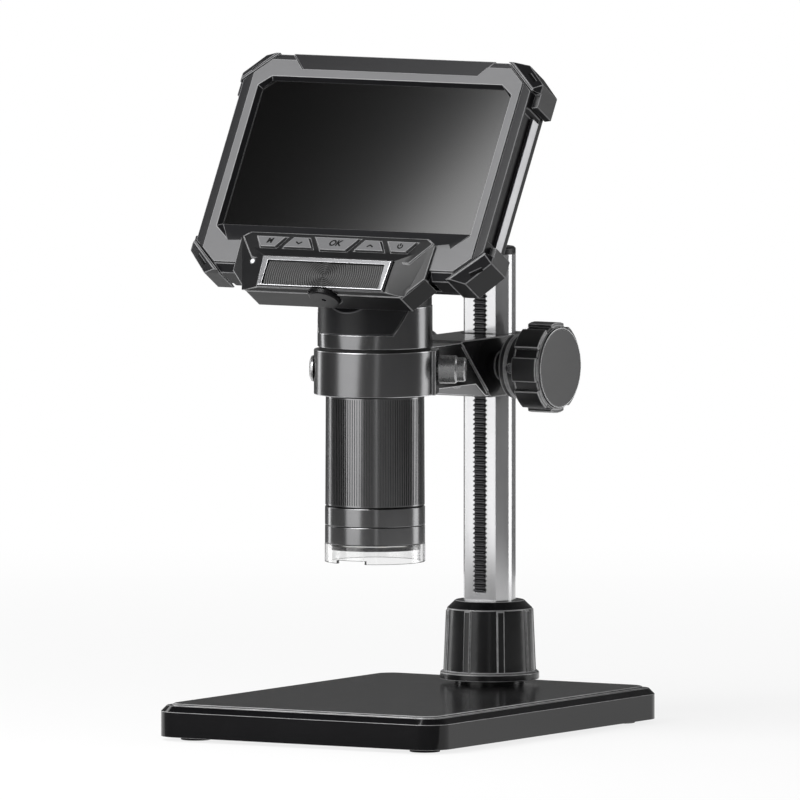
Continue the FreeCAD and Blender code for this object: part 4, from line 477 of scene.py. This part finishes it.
def makeFocusRing(s):
    low, high, land = s["low"], s["high"], s["land"]
    wide, top, cut = s["lowRadius"], s["topRadius"], s["chamfer"]
    profile = [(s["bore"], low), (wide - cut, low), (wide, low + cut), (wide, low + land),
               (top, high - land), (top, high - cut), (top - cut, high), (s["bore"], high)]
    bm = turnedMesh(profile, s["flutes"] * 2)
    walls = [f for f in outerWalls(bm, top - 0.15) if f.calc_area() > s["leastArea"] * mm * mm
             and (low + land) * mm < f.calc_center_median().z < (high - land) * mm]
    bmesh.ops.inset_individual(bm, faces=walls[::2], thickness=s["ridge"] * mm, depth=-s["depth"] * mm,
                               use_even_offset=True)
    stands("focus_ring_fluted", moved(bm, tubePlace), "tubeGrey", "tube_grey", "focus_ring", sharp=24)


makeFocusRing(focusRing)

# knurled brightness wheel
wheel = {"radius": 5.3, "bore": 0.8, "width": 2.0, "slope": (0.5, 0.35), "teeth": 60, "ridge": 0.05,
         "depth": 0.22}


def makeWheel(s):
    half, r, bore = s["width"] / 2, s["radius"], s["bore"]
    inward, down = s["slope"]
    bm = turnedMesh([(bore, -half), (r - inward, -half), (r, -half + down), (r, half - down),
                     (r - inward, half), (bore, half)], s["teeth"] * 2)
    bmesh.ops.inset_individual(bm, faces=outerWalls(bm, 3)[::2], thickness=s["ridge"] * mm,
                               depth=-s["depth"] * mm)
    low, high = (Vector(c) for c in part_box("brightness_wheel"))
    # the wheel turns about the line that runs up the tilted screen
    up = Vector((0, headPlane["sin"], headPlane["cos"]))
    turn = up.to_track_quat("Z", "X").to_matrix().to_4x4()
    stands("brightness_wheel_knurled", moved(bm, Matrix.Translation((low + high) / 2) @ turn),
           "consoleBlack", "console_grey", "brightness_wheel", sharp=24)


makeWheel(wheel)

# marks on the buttons: M, a chevron down, OK, a chevron up and a power sign
marks = {"proud": 0.03, "thick": 0.12, "letter": 2.7, "confirmLetter": 3.1, "bold": 0.11, "slant": 0.25,
         "arm": 1.15, "armLong": 1.25, "armOut": 0.47, "armLean": 35, "line": 0.48,
         "power": {"inner": 0.62, "outer": 1.08, "gap": 0.55, "bar": 1.1, "up": 0.6}}


def letters(text, size, s):
    curve = bpy.data.curves.new("mark", "FONT")
    curve.body, curve.size, curve.extrude = text, size * mm, s["thick"] * mm / 2
    curve.align_x, curve.align_y = "CENTER", "CENTER"
    curve.offset, curve.shear = s["bold"] * mm, s["slant"]
    holder = bpy.data.objects.new("mark", curve)
    bm = bmesh.new()
    bm.from_mesh(bpy.data.meshes.new_from_object(holder))
    bpy.data.objects.remove(holder)
    bmesh.ops.remove_doubles(bm, verts=bm.verts, dist=1e-7)
    return bm


def bar(bm, length, wide, thick, place):
    made = bmesh.ops.create_cube(bm, size=1)["verts"]
    bmesh.ops.scale(bm, verts=made, vec=(length * mm, wide * mm, thick * mm))
    bmesh.ops.transform(bm, matrix=place, verts=made)


def chevron(s, up):
    bm = bmesh.new()
    for side in (-1, 1):
        lean = Matrix.Rotation(math.radians(-s["armLean"] * side * up), 4, "Z")
        out = Matrix.Translation((side * s["arm"] * s["armOut"] * mm, 0, 0))
        bar(bm, s["arm"] * s["armLong"], s["line"], s["thick"], out @ lean)
    return bm


def powerSign(s):
    # an open ring with a bar in its gap
    p, half = s["power"], s["thick"] / 2
    bm = turnedMesh([(p["inner"], -half), (p["outer"], -half), (p["outer"], half), (p["inner"], half)], 32)
    gap = [f for f in bm.faces if f.calc_center_median().y > p["gap"] * mm]
    bmesh.ops.delete(bm, geom=gap, context="FACES")
    bmesh.ops.holes_fill(bm, edges=bm.edges, sides=4)
    bar(bm, s["line"], p["bar"], s["thick"], Matrix.Translation((0, p["up"] * mm, 0)))
    return bm


def makeMarks(s):
    drawn = {"button_menu": letters("M", s["letter"], s), "button_down": chevron(s, -1),
             "button_confirm": letters("OK", s["confirmLetter"], s), "button_up": chevron(s, 1),
             "button_power": powerSign(s)}
    for nodeName, bm in drawn.items():
        lift = Matrix.Translation((0, 0, (s["proud"] - s["thick"] / 2) * mm))
        stands(nodeName + "_mark", moved(bm, faceFrame(nodeName, headFacing) @ lift), "legendBlack",
               "decor_dark", body=bodyOf(nodeName))


makeMarks(marks)

# the dark ring round the lamps in the clear hood, as (radius, height) points in mm
lampRing = [(12.6, 62.7), (13.8, 61.9), (15.0, 61.9), (15.0, 63.1), (12.5, 63.2), (12.5, 62.8)]


def makeLampRing(profile):
    bm = turnedMesh(profile, 80)
    stands("lamp_mask_ring", moved(bm, tubePlace), "satinBlack", "tube_inside", "lamp_mask")


makeLampRing(lampRing)

# bright thin rim round each knob cap
sideName = {-1: "left", 1: "right"}
capRim = {"radius": 13.2, "wide": 0.35, "out": 34.0, "thick": 0.25, "soft": 0.08, "axis": (40.45, 118.6)}


def makeCapRims(s):
    for side in (-1, 1):
        r, w = s["radius"], s["wide"]
        bm = turnedMesh([(r - w, 0), (r, 0), (r, s["thick"]), (r - w, s["thick"])], 96, s["soft"])
        place = Matrix.Translation((side * s["out"] * mm, s["axis"][0] * mm, s["axis"][1] * mm))
        turn = Matrix.Rotation(math.radians(90 * side), 4, "Y")
        stands("knob_rim_" + sideName[side], moved(bm, place @ turn), "screwGrey", "knob_disc",
               body="focus_drive")


makeCapRims(capRim)


def onSurface(nodeName, start, way):
    # the point and normal where a ray first meets a CAD node
    hit, place, normal, _ = frame["nodes"][nodeName].ray_cast(Vector(start), Vector(way))
    assert hit, nodeName
    return place, normal


def laidBar(name, nodeName, start, end, way, wide, proud, finish, slot):
    # a thin bar that lies on a node between the points where two rays meet it
    a, normal = onSurface(nodeName, start, way)
    b, _ = onSurface(nodeName, end, way)
    along = (b - a).normalized()
    side = normal.cross(along).normalized()
    turn = Matrix((along, side, along.cross(side))).transposed().to_4x4()
    thick = proud + 0.3
    bm = bmesh.new()
    rise = Matrix.Translation(along.cross(side) * (proud - thick / 2) * mm)
    bar(bm, (b - a).length / mm, wide, thick, rise @ Matrix.Translation((a + b) / 2) @ turn)
    roundEdges(bm, list(bm.edges), 0.04, 2)
    return stands(name, bm, finish, slot, body=bodyOf(nodeName))


def headPoint(u, v, n):
    # a point u mm across, v mm up and n mm out from the middle of the screen
    h = headPlane
    y = h["y"] + h["sin"] * v - h["cos"] * n
    z = h["z"] + h["cos"] * v + h["sin"] * n
    return u * mm, y * mm, z * mm


# grip slots in the corner guards, each a bar of painted shade with a bar of painted highlight along one
# side: middle across and up the screen, angle, length
guardSlots = {"places": [(-51.25, 31.2, 44.6, 4.2), (53.2, 31.4, -43.4, 4.1), (-51.3, -40.0, -43.7, 4.7),
                         (53.05, -39.8, 34.9, 4.5)],
              "wide": 1.1, "line": 0.28, "start": 12, "shadeSlotProud": 0.03, "highlightLipProud": 0.06}


# the slopes that lead down to the screen are in the frame's black: half width, foot, top and rim in mm
recess = {"half": 48.6, "low": -32.9, "high": 27.6, "rim": 1.85}


def blackenRecess(s):
    mesh = bpy.data.objects["front_bezel_soft"].data
    mesh.materials.append(finishes["frameBlack"].mat)
    for face in mesh.polygons:
        x, y, z = (c / mm for c in face.center)
        y, z = y - headPlane["y"], z - headPlane["z"]
        v = headPlane["sin"] * y + headPlane["cos"] * z
        n = -headPlane["cos"] * y + headPlane["sin"] * z
        if abs(x) < s["half"] and s["low"] < v < s["high"] and n < s["rim"]:
            face.material_index = 1


def makeGuardSlots(s):
    way = [-c for c in headFacing]
    for i, (u, v, angle, length) in enumerate(s["places"]):
        du, dv = math.cos(math.radians(angle)), math.sin(math.radians(angle))
        # the slot is a flat black bar that paints the shade of a recess, the lip a grey bar that paints a
        # highlight along its edge
        for label, shift, wide, proud, finish in (
                ("slot", 0, s["wide"], s["shadeSlotProud"], "legendBlack"),
                ("lip", s["wide"] / 2, s["line"], s["highlightLipProud"], "buttonGrey")):
            cu, cv = u - dv * shift, v + du * shift
            ends = [headPoint(cu + du * k * length / 2, cv + dv * k * length / 2, s["start"])
                    for k in (-1, 1)]
            laidBar(f"guard_{label}_{i}", "corner_guards", *ends, way, wide, proud, finish, "frame_black")


makeGuardSlots(guardSlots)

# thin silver bars that paint the highlights on the two edges where the arm meets the carriage, on both
# sides: middle line in y and z
jointHighlight = {"top": (15.2, 126.6), "low": (31.6, 110.3), "apart": 0.55, "wide": 0.4, "proud": 0.06,
             "out": 30}


def makeJointHighlights(s):
    (y1, z1), (y2, z2) = s["top"], s["low"]
    away = Vector((0, z1 - z2, y2 - y1)).normalized()
    for side in (-1, 1):
        for nodeName, shift in (("holder_arm", -s["apart"]), ("carriage_block", s["apart"])):
            ends = [Vector((side * s["out"], y, z)) + away * shift for y, z in ((y1, z1), (y2, z2))]
            laidBar(f"{nodeName}_edge_" + sideName[side], nodeName, ends[0] * mm, ends[1] * mm,
                    (-side, 0, 0), s["wide"], s["proud"], "highlightSilver", "carriage_black")


makeJointHighlights(jointHighlight)
print("detailed pieces made")


def dressNodes():
    for nodeName, (finish, width) in nodeFinish.items():
        if width:
            softCopy(nodeName, finish, width)
        else:
            data = frame["nodes"][nodeName].data
            data.materials.clear()
            data.materials.append(finishes[finish].mat)


dressNodes()
blackenRecess(recess)
print("nodes dressed")

# floor, light and background; lengths in metres here
studio = {"floor": 0.8, "floorSize": 6, "fill": 0.34, "nearWhite": 0.82, "nearReach": 0.1, "farReach": 0.75,
          "tentRadius": 0.62, "tentHeight": 1.3, "tentSides": 72, "slotAzimuth": 30.8, "slotHalf": 2.6,
          "cardGrey": 0.18, "floorCard": ((-0.42, 0.3), (-0.5, -0.0745)), "cardLift": 0.0003,
          "lampAway": 0.56, "lampAim": (0, 0, 0.12)}


def rayMask(look):
    # 1 for rays that should see the plain white surround
    rays = look.node("ShaderNodeLightPath", {}, out=0)
    node = rays.socket.node
    seen = rays + Sum(look, node.outputs["Is Glossy Ray"]) + Sum(look, node.outputs["Is Transmission Ray"])
    return look.node("ShaderNodeMath", {"operation": "MINIMUM"}, seen, 1.0)


def addStage(name, bm, material):
    # a mesh that belongs to the studio, not to the object
    mesh = bpy.data.meshes.new(name)
    bm.to_mesh(mesh)
    bm.free()
    mesh.materials.append(material)
    made = bpy.data.objects.new(name, mesh)
    bpy.context.scene.collection.objects.link(made)
    return made


def makeFloor(s):
    # a pale floor that turns white further out, where only its shadow is left
    bm = bmesh.new()
    bmesh.ops.create_grid(bm, x_segments=1, y_segments=1, size=s["floorSize"])
    look = Look("floorPale")
    look.set(Base_Color=look.mix(look.noise(3, 2.0), s["floor"] * 0.98, s["floor"]), Roughness=0.7)
    away = look.node("ShaderNodeVectorMath", {"operation": "LENGTH"}, look.place(), out=1)
    white = look.ramp(away, (s["nearReach"], s["nearWhite"]), (s["farReach"], 1)) * rayMask(look)
    glowing = look.node("ShaderNodeEmission", {}, {"Color": grey(1), "Strength": 1.0})
    look.blend(white, glowing)
    addStage("floor", bm, look.mat)


def makeTent(s):
    # dark cards around the object, seen only in its reflections, with a slot on the camera's side
    bm = bmesh.new()
    bmesh.ops.create_cone(bm, segments=s["tentSides"], radius1=s["tentRadius"], radius2=s["tentRadius"],
                          depth=s["tentHeight"], cap_ends=False)
    bmesh.ops.translate(bm, verts=bm.verts, vec=(0, 0, s["tentHeight"] / 2))
    turn = math.radians(s["slotAzimuth"])
    slot = Vector((math.sin(turn), -math.cos(turn), 0))
    opened = [f for f in bm.faces
              if Vector((*f.calc_center_median().xy, 0)).angle(slot) < math.radians(s["slotHalf"])]
    bmesh.ops.delete(bm, geom=opened, context="FACES")
    lid = bmesh.ops.create_circle(bm, cap_ends=True, segments=s["tentSides"],
                                  radius=s["tentRadius"])["verts"]
    bmesh.ops.translate(bm, verts=lid, vec=(0, 0, s["tentHeight"]))
    look = Look("cardBlack")
    look.set(Base_Color=look.mix(look.noise(5), s["cardGrey"] * 0.9, s["cardGrey"]), Roughness=0.9,
             Specular_IOR_Level=0.0)
    # one card lies on the floor before the base
    (left, right), (front, back) = s["floorCard"]
    card = bmesh.ops.create_grid(bm, x_segments=1, y_segments=1, size=0.5)["verts"]
    bmesh.ops.scale(bm, verts=card, vec=(right - left, back - front, 1))
    bmesh.ops.translate(bm, verts=card, vec=((left + right) / 2, (front + back) / 2, s["cardLift"]))
    tent = addStage("darkCards", bm, look.mat)
    tent.visible_camera = tent.visible_diffuse = tent.visible_shadow = tent.visible_transmission = False


def makeWorld(s):
    # white where it is seen, and a soft fill light for the rest
    world = bpy.data.worlds.new("studio")
    bpy.context.scene.world = world
    look = Look("studio", world)
    look.set(Strength=look.ramp(rayMask(look), (0, s["fill"]), (1, 1)), Color=(1, 1, 1, 1))
    world.cycles.sampling_method = "NONE"


# lamps around the object: azimuth as the camera's, elevation, width and height, watts
lamps = [{"name": "leftKey", "azimuth": -20, "elevation": 12, "size": (0.5, 0.5), "power": 1.4},
         {"name": "leftRim", "azimuth": -96, "elevation": 8, "size": (0.1, 0.5), "power": 0.5},
         {"name": "rightRim", "azimuth": 138, "elevation": 8, "size": (0.2, 0.5), "power": 0.75}]
# the soft lamp whose edge crosses the screen's reflection, so the glass lifts from black to grey
screenSoft = {"from": (0.028, -0.026, 0.191), "along": (-0.51, -0.48, 0.71), "away": 0.5,
              "size": (0.34, 0.4), "shift": 0.178, "power": 4.3}


def makeLamp(name, at, aim, size, power, sideways=0):
    data = bpy.data.lights.new(name, "AREA")
    data.shape, (data.size, data.size_y), data.energy = "RECTANGLE", size, power
    lamp = bpy.data.objects.new(name, data)
    lamp.rotation_mode = "QUATERNION"
    turn = (Vector(aim) - Vector(at)).to_track_quat("-Z", "Y")
    lamp.rotation_quaternion = turn
    lamp.location = Vector(at) + turn @ Vector((sideways, 0, 0))
    lamp.visible_camera = False
    bpy.context.scene.collection.objects.link(lamp)


def makeLamps(rows, soft, s):
    centre = Vector(s["lampAim"])
    for row in rows:
        a, e = math.radians(row["azimuth"]), math.radians(row["elevation"])
        way = Vector((math.sin(a) * math.cos(e), -math.cos(a) * math.cos(e), math.sin(e)))
        makeLamp(row["name"], centre + way * s["lampAway"], centre, row["size"], row["power"])
    start = Vector(soft["from"])
    at = start + Vector(soft["along"]).normalized() * soft["away"]
    makeLamp("screenSoft", at, start, soft["size"], soft["power"], soft["shift"])


makeFloor(studio)
makeTent(studio)
makeWorld(studio)
makeLamps(lamps, screenSoft, studio)
print("studio made")
